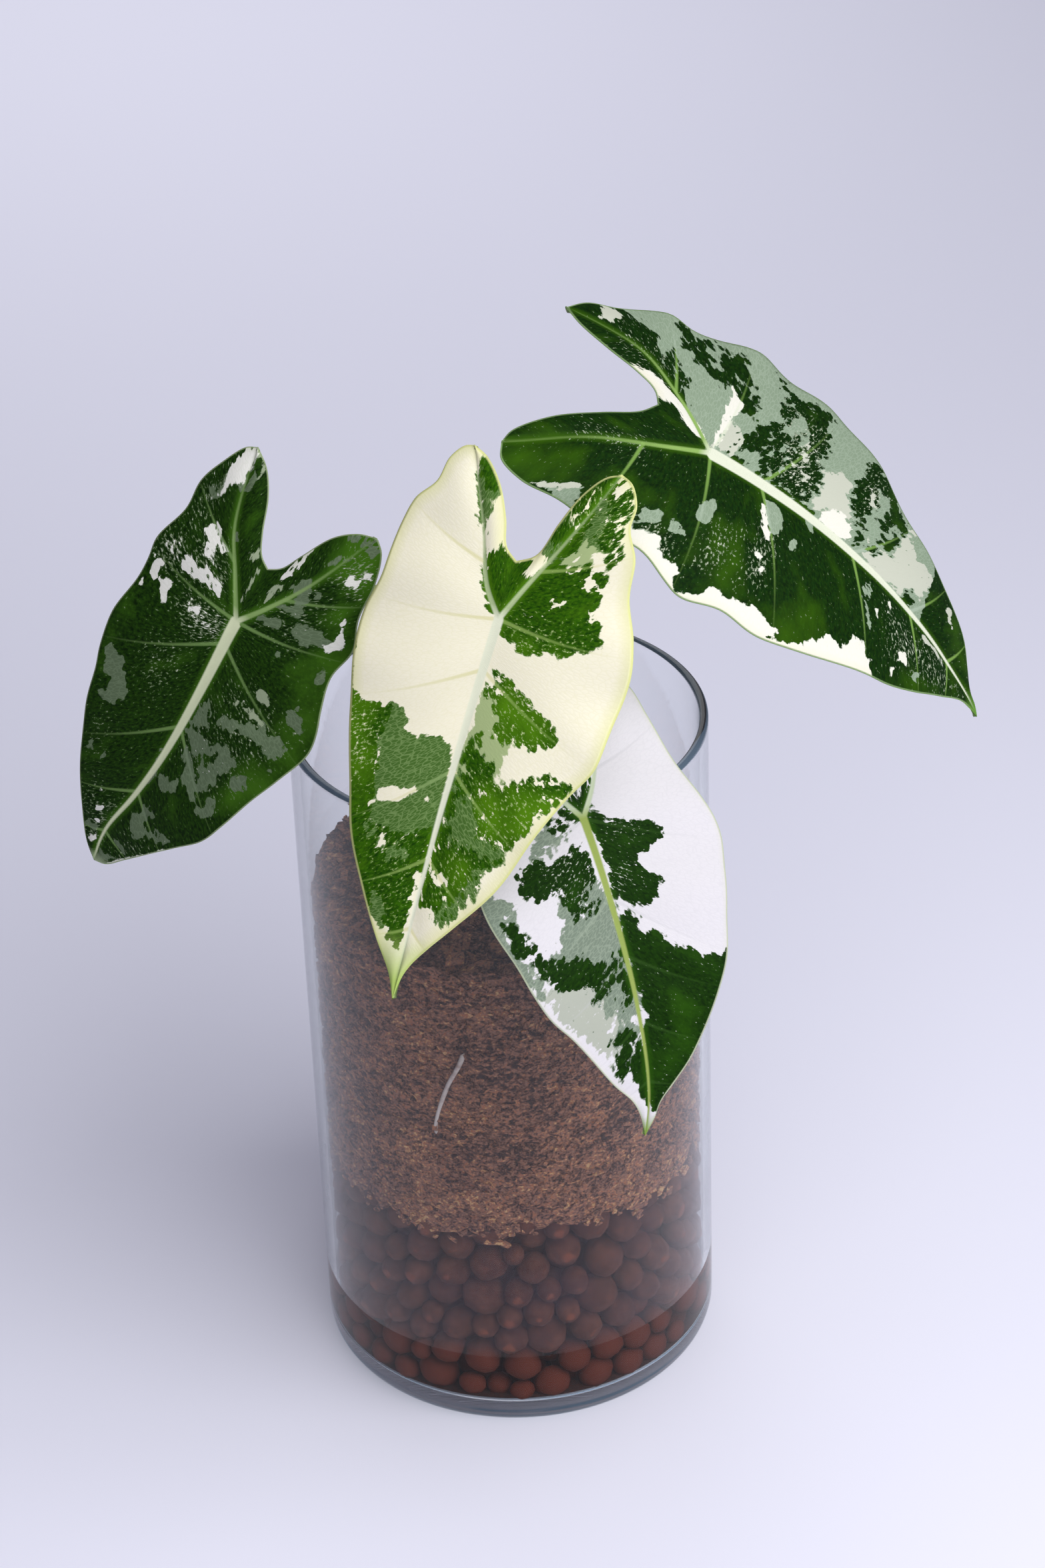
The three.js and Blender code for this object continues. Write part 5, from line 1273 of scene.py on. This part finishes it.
            (44, -43.7), (44.4, -40.2), (42.2, -41.5), (39, -42), (33.5, -39.6), (29, -42.4),
            (25.4, -42.8), (21.3, -45), (19.8, -43), (16.6, -44.6), (16, -47), (12.9, -49.6),
            (7.9, -50.6), (4.4, -48.4), (6.3, -44.6), (4.8, -43.7), (-2.4, -43.6), (-5, -39),
            (-10, -39.5), (-13.5, -41), (-15, -36), (-18, -42), (-28, -46), (-33, -46), (-20, -60),
            (20, -65), (60, -55), (84, -40)]),
        ("sage", 2, [(2, -33), (0, -31), (-3.5, -31), (-4, -34), (-2, -35.5)]),
        ("sage", 2, [
            (-7, -34), (-7.5, -30), (-10, -31.5), (-13, -32.5), (-15, -36), (-12, -37.5), (-9, -35.5)]),
        ("sage", 1.5, [(7.8, -24), (8.5, -20), (7, -15), (5, -17), (2.5, -21), (4, -26), (6.5, -26)]),
        ("sage", 1.5, [(31, -13), (31, -9), (29.5, -5), (26, -3), (22.5, -4), (25, -11), (28.5, -14)]),
        ("white", 1.5, [
            (29, -17), (27.5, -13), (24.5, -9), (22.3, -4), (22, -9), (25, -15), (27, -17)]),
        ("white", 1.5, [(31, -29.5), (30.5, -26), (28.5, -28), (29, -30)]),
        ("white", 1.5, [(28, -26), (28.5, -24), (26.5, -22), (25.5, -25.5)]),
        ("sage", 1.5, [(38, -12), (37, -10), (35.5, -12), (35.5, -15.5), (37, -15)]),
        ("sage", 1, [(42, -3), (41, 0), (38, -1)]),
        ("sage", 2, [(-33, -45), (-33, -36), (-37, -36.5), (-40, -39.5), (-45, -41), (-38, -44)]),
        ("silver", 2, [
            (-33, -36), (-35.5, -35.5), (-38, -37.5), (-42, -39), (-46.5, -40.5), (-50, -42),
            (-44, -41.5), (-40, -40), (-36, -37.5)]),
        ("white", 1.5, [
            (94, -17), (94.3, -14), (92, -13), (90, -14), (88.5, -16), (90, -18), (91.5, -17)]),
        ("white", 1, [(90, -24), (90, -20.5), (88.5, -22)]),
        ("white", 1, [(80, -7), (79.5, -5.5), (78, -5.5), (78, -7.5)]),
        ("white", 1, [(80, -4.5), (78.5, -2), (77.5, -3)]),
        ("white", 1, [(76, -11.5), (75, -9), (73.5, -9.5), (74.5, -11.5)]),
        ("sage", 3.5, [
            (75, -19), (74, -15), (71, -12), (70, -9), (70, -3), (68, -2), (66.5, -5), (67, -8),
            (70, -12)]),
        ("sage", 1.5, [(101.5, -17), (101.5, -13), (99.5, -13.5), (98, -17.5)]),
        ("silver", 1, [(111, -2), (109, 0), (97, -0.5), (96, -2.5), (104, -1.2), (108, -1.5)]),
        ("silver", 2, [(110, 12), (108, 17), (107, 20), (104.5, 19), (104, 17.5), (106, 14)])],
}

# Where white flecks are strewn, and where a painted glow of light lightens the green, each by its strength
# and outline
FLECKS = {
    "front": [
        (0.4, [(-3, 2), (40, 2), (38, 32), (-3, 32)]),
        (0.75, [(10, 10), (15, 10), (26, 18), (22, 24), (14, 18)]),
        (0.55, [(34, -44), (50, -40), (62, -34), (60, -26), (36, -27)]),
        (0.35, [(66, -27), (100, -12), (100, -2), (70, -4)]),
        (0.4, [(42, 4), (92, 2), (80, 18), (62, 32), (42, 38)]),
        (0.4, [(-52, 14), (-34, 14), (-22, 20), (-26, 34), (-50, 34)])],
    "low": [
        (0.5, [(5, 8), (9, 8), (10, 14), (5, 13)]),
        (0.55, [(17, 4), (24, 4), (24, 11), (17, 10)]),
        (0.35, [(6, -26), (26, -14), (25, -3), (6, -3)]),
        (0.6, [(56, -24), (68, -16), (76, -12), (60, -8), (52, -14)])],
    "left": [
        (0.85, [(13, -12), (12, -6), (10, -1), (1, -1), (0, -10), (2, -20), (8, -20)]),
        (0.9, [(1, -37), (1, -26), (-8, -26), (-12, -30), (-10, -36)]),
        (0.6, [(1, -26), (-2, -8), (-10, -8), (-20, -20), (-12, -28)]),
        (0.85, [(-30, 20), (-42, 20), (-42, 30), (-30, 30)]),
        (0.5, [(-14, -36), (-30, -36), (-44, -30), (-30, -26), (-14, -26)]),
        (0.6, [(76, -4), (84, -14), (102, -12), (98, -5)]),
        (0.4, [(12, 8), (50, 4), (56, 26), (16, 40)]),
        (0.4, [(18, -6), (40, -8), (34, -20), (18, -24)]),
        (0.5, [(54, -20), (96, -16), (88, -8), (58, -26)]),
        (0.4, [(-2, 4), (-28, 12), (-24, 30), (-4, 24)]),
        (0.6, [(86, 4), (104, -4), (100, 2), (84, 14)])],
    "right": [
        (0.55, [(8, -42), (18, -40), (20, -20), (8, -24)]),
        (0.6, [(22, -38), (32, -36), (32, -14), (24, -12)]),
        (0.8, [(-12, -43), (0, -43), (0, -36), (-12, -36)]),
        (0.6, [(-20, -16), (-42, -19), (-42, -14), (-20, -9)]),
        (0.55, [(22, 6), (36, 6), (38, 40), (18, 40)]),
        (0.5, [(54, 18), (66, 22), (66, 40), (54, 40)]),
        (0.55, [(84, -20), (116, -10), (126, -2), (76, -3)]),
        (0.35, [(-44, 20), (-20, 16), (-20, 30), (-44, 36)])],
}
# Painted light: the glows stand for light shining through the thin blade and lighting its green
PAINTED_GLOWS = {
    "front": [
        (1, [(20, -50), (50, -42), (66, -30), (60, -22), (30, -34)]),
        (0.9, [(2, 6), (40, 6), (38, 30), (2, 30)]),
        (1, [(48, 8), (66, 14), (64, 34), (46, 38)]),
        (0.7, [(72, 2), (90, 2), (90, 16), (72, 16)])],
    "low": [
        (0.8, [(62, 14), (88, 0), (86, 12), (68, 26)]),
        (0.5, [(40, 20), (60, 20), (60, 34), (46, 34)])],
    "left": [
        (1.4, [(-52, 14), (-34, 16), (-30, 38), (-50, 34)]),
        (0.9, [(-30, 24), (20, 30), (60, 24), (40, 44), (-20, 44)]),
        (0.4, [(-10, -38), (40, -38), (40, -30), (-10, -30)])],
    "right": [
        (0.7, [(-62, -40), (-34, -46), (-30, -26), (-54, -22)]),
        (0.7, [(38, -46), (62, -46), (62, -22), (42, -20)]),
        (0.5, [(-24, -42), (-2, -38), (-8, -20), (-28, -24)]),
        (0.6, [(2, -44), (26, -44), (22, -20), (6, -20)]),
        (0.9, [(104, 10), (126, 2), (126, 10), (108, 22)]),
        (0.6, [(96, -24), (126, -6), (120, -2), (98, -14)])],
}
LEVELS = ("white", "silver", "sage", "green")
SECTOR_REACH = 6
PLAIN_EDGE = 0.9
TOUCH_BLUR = 9
SECTOR_JOIN = 5
NOWHERE = -9.0

# Half the width of the veins at their root and at their end, and each leaf's colours: the young front leaf is
# the yellowest, and the ones that turned to the light are the darkest. The low leaf lies under the front one,
# and its whites and pale tones are painted greyer as painted shade
RIB_END = 0.3
LOBE_VEIN_HALF = 0.9
SIDE_VEIN_HALF = 0.6
LEAF_FINISHES = {
    "front": {
        "rib_half": 1.7, "white": "#F4EFD6", "white_vein": "#DDD9A4", "blush": "#E2E1A8", "blush_width": 5,
        "silver": "#A6B781", "sage": "#496B2E", "net": "#8CA869", "green": "#295506", "dark": "#163A05",
        "glow": "#52820F", "grain": 0.5, "rib": "#E4E7CE", "lobe_vein": "#A9BB8A", "side_vein": "#8DAA58",
        "side_share": 0.75, "margin": "#CFD28C", "margin_width": 0.9, "tip": "#A3BB62", "tip_length": 21,
        "fleck": "#AABD7C"},
    # Painted shade: the low leaf's whites and pale tones are greyed for the front leaf's shade over it
    "low": {
        "rib_half": 1.35, "white": "#D2CFD3", "white_vein": "#B9B8BC", "blush": "#CFCDC8", "blush_width": 2,
        "silver": "#A8ACA0", "sage": "#738071", "net": "#98A492", "green": "#143006", "dark": "#0B2204",
        "glow": "#2A5208", "grain": 0.3, "rib": "#8F9F54", "lobe_vein": "#B5C0A4", "side_vein": "#33531F",
        "side_share": 0.4, "margin": "#BCC4A6", "margin_width": 0.6, "tip": "#7E9A48", "tip_length": 7,
        "fleck": "#BCC2B4"},
    "left": {
        "rib_half": 2.1, "white": "#DAD9D2", "white_vein": "#A9B49A", "blush": "#C4C7B4", "blush_width": 2,
        "silver": "#8E9A7E", "sage": "#58684E", "net": "#6F8064", "green": "#152E09", "dark": "#0A1D05",
        "glow": "#3C6514", "grain": 0.35, "rib": "#C8CFAC", "lobe_vein": "#7E9A5C", "side_vein": "#6E8C50",
        "side_share": 0.8, "margin": "#8C9C74", "margin_width": 0.5, "tip": "#9AAA84", "tip_length": 5,
        "fleck": "#7E8C6E"},
    "right": {
        "rib_half": 2.4, "white": "#DDDBD0", "white_vein": "#CDD3BC", "blush": "#DDD9C2", "blush_width": 3,
        "silver": "#BABDAD", "sage": "#82937C", "net": "#9CAB97", "green": "#0D2A07", "dark": "#071D04",
        "glow": "#345A04", "grain": 0.2, "rib": "#D3D7C2", "lobe_vein": "#86A65A", "side_vein": "#789C4C",
        "side_share": 0.85, "margin": "#7F9A66", "margin_width": 0.6, "tip": "#5E8A34", "tip_length": 11,
        "fleck": "#9AA68C"},
}


def sector_fields(flat, ground, sectors):
    """For each level past white, how far inside the area of at least that level each point lies,
    and how ragged the colours are there. Sectors that touch grow together."""
    steps = np.arange(1, len(LEVELS))
    fields = np.where(steps <= LEVELS.index(ground), SECTOR_REACH, -SECTOR_REACH) * np.ones((len(flat), 1))
    ragged = np.full(len(flat), PLAIN_EDGE)
    for level, edge, outline in sectors:
        inside = np.clip(inside_distance(flat, outline), -SECTOR_REACH, SECTOR_REACH)[:, None]
        bridge = np.clip(SECTOR_JOIN - np.abs(fields - inside), 0, None) ** 2 / (4 * SECTOR_JOIN)
        joined = np.maximum(fields, inside) + bridge
        fields = np.where(steps <= LEVELS.index(level), joined, np.minimum(fields, -inside))
        ragged += (edge - ragged) * np.clip(inside[:, 0] + 0.6, 0, 1)
    return fields, ragged


def touch_strength(flat, touches):
    """How strong a touch of flecks or of painted glow is at each point, soft at its outline."""
    strength = np.zeros(len(flat))
    for top, outline in touches:
        softened = np.clip(inside_distance(flat, outline) / TOUCH_BLUR + 0.5, 0, 1)
        strength = np.maximum(strength, top * softened)
    return strength


def vein_fields(flat, blade, rib_half):
    """How far inside the midrib or a lobe vein, inside a side vein, and inside the margin each point is."""
    shares = np.linspace(0, 1, 60)
    midrib = blade_curves(blade, blade["sides"][0])[0]
    left_to_tip = np.clip(1 - flat[:, 0] / blade["tip"][0], 0, 1)
    half = RIB_END + (rib_half - RIB_END) * left_to_tip ** 1.1
    rib = half - distance_to_line(flat, midrib(shares))
    outline = []
    side_vein = np.full(len(flat), NOWHERE)
    for number, side in enumerate(blade["sides"]):
        lobe, margin, inner = blade_curves(blade, side)[1:]
        left_to_lobe = np.clip(1 - flat[:, 0] / side["lobe_end"][0], 0, 1)
        half = RIB_END + (LOBE_VEIN_HALF - RIB_END) * left_to_lobe ** 1.5
        lobe_vein = half - distance_to_line(flat, lobe(shares))
        beside = NOWHERE if number == 0 else rib
        rib = np.where(flat[:, 0] < 0, np.maximum(beside, lobe_vein), rib)
        outline += [*margin(np.linspace(0, 1, 120)), *inner(shares)][::1 - 2 * number]
        spine, edge, stations = blade_regions(blade, side)[0][:3]
        for row in np.flatnonzero(np.isin(stations, range(1, 7))):
            length = np.linalg.norm(edge[row] - spine[row])
            part = np.linspace(0, 1, 14)[:, None]
            line = spine[row] * (1 - part) + edge[row] * part
            line[:, 0] += ROW_BOW * length / HALF_WIDTH * np.sin(math.pi * part[:, 0])
            run = np.linalg.norm(flat - spine[row], axis=1) / length
            half = SIDE_VEIN_HALF * np.clip(1.02 - run, 0, 1) ** 0.8
            side_vein = np.maximum(side_vein, np.where(run < 1, half - distance_to_line(flat, line), NOWHERE))
    return rib, side_vein, inside_distance(flat, outline)


def mark_blade(mesh, name):
    """Gives a blade's vertices what its material reads, with lengths in millimetres on the flat blade."""
    known = {}
    for layer in ("along", "across", "row", "reach"):
        values = np.zeros(len(mesh.vertices), np.float32)
        mesh.attributes[layer].data.foreach_get("value", values)
        known[layer] = values.astype(float)
    flat = np.stack([known["along"], known["across"]], axis=1)
    nothing = np.zeros(len(flat))
    fields, ragged = sector_fields(flat, GROUNDS[name], SECTORS[name])
    flecks = touch_strength(flat, FLECKS[name])
    glow = touch_strength(flat, PAINTED_GLOWS[name])
    for layer, columns in {
            "flow": (known["reach"], known["row"], nothing),
            "sectors": fields.T,
            "veins": vein_fields(flat, BLADES[name], LEAF_FINISHES[name]["rib_half"]),
            "flat": (*flat.T, ragged),
            "touch": (flecks, glow, nothing)}.items():
        attribute = mesh.attributes.new(layer, "FLOAT_VECTOR", "POINT")
        listed = np.ascontiguousarray(np.stack(columns, axis=1), np.float32)
        attribute.data.foreach_set("vector", listed.ravel())
    for layer in ("along", "across", "row", "reach", "drop", "down"):
        mesh.attributes.remove(mesh.attributes[layer])


# Velvety leaf skin: dull and deep in colour, with no glare. The back is paler, as if under a bloom. The
# sectors have scalloped edges, and the net of fine veins is drawn as coarse as it needs to show. The green
# has painted light in it: a glow where light shines through the blade, and a painted sheen beside the ribs.
VELVET_SHINE = 0.04
SCALLOP = 2.5
SPECK_MIDDLE = 0.42
EDGE_BLUR = 0.15
NET_MESH = (2.5, 0.9091)
BACK_PALENESS = 0.45
BACK_TONE = "#9DAB8C"


def leaf_noises(tree, flow):
    """The noises that roughen a leaf's colours. Their cells are millimetres along a row and across it."""
    noises = {}
    for use, (along, across), detail in (
            ("wander", (5, 2.9412), 3.0), ("specks", (1.4286, 0.9091), 4.0),
            ("mottle", (2.2222, 1.4286), 4.0), ("clouds", (20, 14.286), 2.0)):
        stretched = add_node(tree, "Mapping", {
            "Vector": flow, "Scale": (1 / along, 1 / across, 1)}).outputs[0]
        noises[use] = add_node(tree, "TexNoise", {
            "Vector": stretched, "Scale": 1.0, "Detail": detail, "Roughness": 0.6}).outputs[0]
    return noises


def sector_levels(tree, flow, noises, sectors, ragged):
    """The shares of silver, sage and green, with scalloped edges on a slow wander and crumbs broken off."""
    scallops = add_node(tree, "TexVoronoi", {"Vector": flow, "Scale": 1 / SCALLOP}).outputs["Distance"]
    wobble = 0.0
    for value, spread in ((noises["wander"], 1.5), (noises["specks"], 1.3), (scallops, -1.5)):
        centred = add_node(tree, "Math", {0: value, 1: 0.5}, operation="SUBTRACT").outputs[0]
        wobble = add_node(tree, "Math", {
            0: centred, 1: spread, 2: wobble}, operation="MULTIPLY_ADD").outputs[0]
    levels = []
    for channel, looseness in (("X", 0.4), ("Y", 0.4), ("Z", 0)):
        there = sectors[channel]
        for value, strength in ((wobble, ragged), (noises["specks"], looseness)):
            there = add_node(tree, "Math", {
                0: value, 1: strength, 2: there}, operation="MULTIPLY_ADD").outputs[0]
        edge = SPECK_MIDDLE * looseness
        levels.append(add_node(tree, "MapRange", {
            "Value": there, "From Min": edge - EDGE_BLUR, "From Max": edge + EDGE_BLUR}).outputs[0])
    return levels


def leaf_shares(tree, finish, tip, flow, noises, parts):
    """How much of each marking shows, by use, and the net of fine veins. Flecks appear in drifts, where
    their strength and the noises together are high enough."""
    drift = add_node(tree, "Math", {0: noises["wander"], 1: parts["touch"]["X"]}, operation="MULTIPLY")
    strewn = add_node(tree, "Math", {
        0: drift.outputs[0], 1: 0.42, 2: noises["specks"]}, operation="MULTIPLY_ADD").outputs[0]
    meshes = add_node(tree, "Mapping", {"Vector": flow, "Scale": (1 / NET_MESH[0], 1 / NET_MESH[1], 1)})
    net = add_node(tree, "TexVoronoi", {
        "Vector": meshes.outputs[0], "Scale": 1.0}, feature="DISTANCE_TO_EDGE").outputs[0]
    glow = add_node(tree, "Math", {
        0: parts["touch"]["Y"], 1: 0.35, 2: noises["clouds"]}, operation="MULTIPLY_ADD").outputs[0]
    along, vein, margin = parts["flat"]["X"], parts["veins"]["X"], parts["veins"]["Z"]
    margin_width, tip_length = finish["margin_width"], finish["tip_length"]
    shares = {}
    for use, value, low, high, bottom, top in (
            ("net", net, 0.12, 0.02, 0, 0.5),
            ("faint net", net, 0.1, 0.0, 0, 0.2),
            ("blush", margin, finish["blush_width"], 0, 0, 0.85),
            ("mottle", noises["mottle"], 0.4, 0.62, 0, 1),
            # painted glow of light in the green
            ("glow", glow, 0.55, 1.0, 0, 0.9),
            ("grain", noises["specks"], 0.42, 0.7, 0, finish["grain"]),
            # a lighter band beside the ribs: paler tissue there, and painted sheen
            ("by a vein", vein, -1.8, -0.2, 0, 0.6),
            ("flecks", strewn, 0.66, 0.7, 0, 0.75),
            ("white flecks", strewn, 0.75, 0.79, 0, 1),
            ("side vein", parts["veins"]["Y"], -0.25, 0.25, 0, finish["side_share"]),
            ("side vein far", parts["flow"]["X"], 6, 40, 1, 0.25),
            ("rib", vein, -0.25, 0.3, 0, 1),
            ("lobe vein", along, 0, -4, 0, 1),
            ("lobe vein far", along, -12, -42, 1, 0.3),
            ("margin", margin, margin_width, margin_width * 0.4, 0, 0.9),
            ("tip", along, tip - tip_length, tip - tip_length * 0.25, 0, 1)):
        shares[use] = add_node(tree, "MapRange", {
            "Value": value, "From Min": low, "From Max": high, "To Min": bottom, "To Max": top}).outputs[0]
    for use, fading in (("side vein", "side vein far"), ("rib", "lobe vein far")):
        shares[use] = add_node(tree, "Math", {
            0: shares[use], 1: shares[fading]}, operation="MULTIPLY").outputs[0]
    return shares, net


def velvet_skin(name, finish, tip, is_back):
    """The skin of one leaf: ragged sectors of colour, flecks, a fine net of veins, and the large veins."""
    material, tree = new_material(name)
    parts = {}
    for layer in ("flow", "flat", "sectors", "veins", "touch"):
        vector = add_node(tree, "Attribute", attribute_name=layer).outputs["Vector"]
        parts[layer] = add_node(tree, "SeparateXYZ", {0: vector}).outputs
    flow = add_node(tree, "Attribute", attribute_name="flow").outputs["Vector"]
    noises = leaf_noises(tree, flow)
    levels = sector_levels(tree, flow, noises, parts["sectors"], parts["flat"]["Z"])
    shares, net = leaf_shares(tree, finish, tip, flow, noises, parts)
    white = layered(
        tree, finish["white"],
        (shares["blush"], finish["blush"]), (shares["faint net"], finish["white_vein"]))
    sage = layered(tree, finish["sage"], (shares["net"], finish["net"]))
    # The green is laid with painted light: a glow where light shines through, and a painted sheen by the ribs
    green = layered(
        tree, finish["dark"], (shares["mottle"], finish["green"]), (shares["glow"], finish["glow"]),
        (shares["grain"], finish["glow"]), (shares["by a vein"], finish["glow"]),
        (shares["flecks"], finish["fleck"]))
    side_vein = layered(
        tree, finish["white_vein"],
        (levels[1], finish["net"]), (levels[2], finish["side_vein"]))
    rib = layered(tree, finish["rib"], (shares["lobe vein"], finish["lobe_vein"]))
    colour = layered(
        tree, white, (levels[0], finish["silver"]), (levels[1], sage), (levels[2], green),
        (shares["white flecks"], finish["white"]), (shares["side vein"], side_vein), (shares["rib"], rib),
        (shares["margin"], finish["margin"]), (shares["tip"], finish["tip"]))
    if is_back:
        colour = layered(tree, colour, (BACK_PALENESS, BACK_TONE))
    relief = add_node(tree, "Bump", {"Height": net, "Strength": 0.2, "Distance": 0.3 * MM}).outputs[0]
    body = add_node(tree, "BsdfPrincipled", {
        "Base Color": colour, "Roughness": 0.6, "Specular IOR Level": VELVET_SHINE, "Normal": relief})
    add_node(tree, "OutputMaterial", {"Surface": body.outputs[0]})
    return material


for name, blade in BLADES.items():
    skins = [
        velvet_skin(f"velvety leaf {where} {name}", LEAF_FINISHES[name], blade["tip"][0], where == "back")
        for where in ("face", "back")]
    leaf = new_piece("blade_" + name, blade_sheet(blade), *skins)
    mark_blade(leaf.data, name)
    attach(leaf, "root")
    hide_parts("leaf_" + name)

# The petioles
# Four smooth, fleshy stalks, pale green, with a broad sheath at the foot that clasps the rhizome.
# Each carries its blade at the junction of the midrib and the two lobe veins.
PETIOLE_BASE = 3.7
PETIOLE_NECK = 2.3
PETIOLE_TOP = 1.7
PETIOLE_POINTS = 80
PETIOLE_SIDES = 24
BASE_CIRCLE = 5.7
SHEATH_RISE = 10
ROOTED = 0.5
SEAT_DEPTH = BLADE_THICKNESS + MIDRIB_DEPTH * 0.6
LAST_BEND = (7, 4)
PETIOLES = {
    "front": (270, [(1, -10, 240), (2, -27, 290), (2, -52, 318)]),
    "low": (0, [(9, -8, 228), (16, -30, 254), (22, -55, 266)]),
    "left": (180, [(-8, 2, 235), (-20, 0, 280), (-42, -10, 306)]),
    "right": (90, [(5, 8, 240), (14, 8, 285), (34, 0, 322)]),
}

# Petiole skin: smooth and waxy, pale green with faint darker streaks along it
PETIOLE_COLOUR = "#A9C27A"
PETIOLE_STREAK = "#7E9C4E"
FINE_STREAK = 1.667
petiole_skin, tree = new_material("waxy petiole skin")
place = add_node(tree, "TexCoord").outputs["Object"]
stretched = add_node(tree, "Mapping", {"Vector": place, "Scale": (1, 1, 0.15)}).outputs[0]
streaks = add_node(tree, "TexNoise", {
    "Vector": stretched, "Scale": 1 / (FINE_STREAK * MM), "Detail": 3.0}).outputs[0]
share = add_node(tree, "MapRange", {"Value": streaks, "From Min": 0.35, "From Max": 0.7}).outputs[0]
body = add_node(tree, "BsdfPrincipled", {
    "Base Color": layered(tree, PETIOLE_COLOUR, (share, PETIOLE_STREAK)), "Roughness": 0.4})
add_node(tree, "OutputMaterial", {"Surface": body.outputs[0]})

for name, (base, bends) in PETIOLES.items():
    blade = BLADES[name]
    along, across, face = blade_axes(blade)
    seat = np.array(blade["junction"]) - face * SEAT_DEPTH
    approach = seat - LAST_BEND[0] * face - LAST_BEND[1] * along
    turned = math.radians(base)
    foot = np.array([BASE_CIRCLE * math.cos(turned), BASE_CIRCLE * math.sin(turned), rhizome_high - ROOTED])
    shares = np.linspace(0, 1, PETIOLE_POINTS)
    points = smooth_curve([foot, foot + (0, 0, SHEATH_RISE), *bends, approach, seat])(shares)
    radii = np.interp(shares, [0, 0.2, 1], [PETIOLE_BASE, PETIOLE_NECK, PETIOLE_TOP])
    petiole = new_piece("stalk_" + name, round_stalk(points, radii, PETIOLE_SIDES), petiole_skin)
    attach(petiole, "root")
    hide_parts("petiole_" + name)

# The floor
# A plain pale backdrop, matte and slightly lavender, that the vase stands on.
FLOOR_HALF = 4
FLOOR_COLOUR = "#F1F1FF"
floor_bm = bmesh.new()
bmesh.ops.create_grid(floor_bm, x_segments=1, y_segments=1, size=FLOOR_HALF)
backdrop, tree = new_material("matte backdrop paper")
body = add_node(tree, "BsdfPrincipled", {"Base Color": linear(FLOOR_COLOUR), "Roughness": 0.9})
add_node(tree, "OutputMaterial", {"Surface": body.outputs[0]})
floor = new_piece("floor", floor_bm, backdrop)

# The light
# A large soft box above on the right, a second one over the backdrop, and an even room light.
SOFT_BOX = 1.3
ROOM_COLOUR = "#E4E4F4"
ROOM_STRENGTH = 0.34
LAMPS = {
    "key": ((0.5, -0.65, 0.95), (0.04, -0.1, 0.05), 15.2),
    "back": ((-0.3, 1.5, 0.85), (-0.3, 1.4, 0), 5.1),
}
for name, (place, aim, watts) in LAMPS.items():
    soft_box = bpy.data.lights.new(name, "AREA")
    soft_box.shape = "DISK"
    soft_box.size = SOFT_BOX
    soft_box.energy = watts
    lamp = bpy.data.objects.new(name, soft_box)
    lamp.location = place
    lamp.rotation_euler = (Vector(aim) - lamp.location).to_track_quat("-Z", "Y").to_euler()
    bpy.context.scene.collection.objects.link(lamp)
world = bpy.data.worlds.new("room")
bpy.context.scene.world = world
world.use_nodes = True
world.node_tree.nodes["Background"].inputs["Color"].default_value = linear(ROOM_COLOUR)
world.node_tree.nodes["Background"].inputs["Strength"].default_value = ROOM_STRENGTH
bpy.context.scene.view_settings.view_transform = "Standard"

# The camera
# It stands at the photograph's viewpoint, above and in front, and is turned slightly about its axis.
CAMERA_PLACE = (7.38 * MM, -1059.49 * MM, 876.86 * MM)
CAMERA_PITCH = 31.68
CAMERA_ROLL = 2.141
camera_data = bpy.data.cameras.new("camera")
camera_data.lens = 85
camera_data.sensor_width = 36
camera = bpy.data.objects.new("camera", camera_data)
pitched = Matrix.Rotation(math.radians(90 - CAMERA_PITCH), 4, "X")
rolled = Matrix.Rotation(math.radians(-CAMERA_ROLL), 4, "Z")
camera.matrix_world = Matrix.Translation(CAMERA_PLACE) @ pitched @ rolled
bpy.context.scene.collection.objects.link(camera)
bpy.context.scene.camera = camera
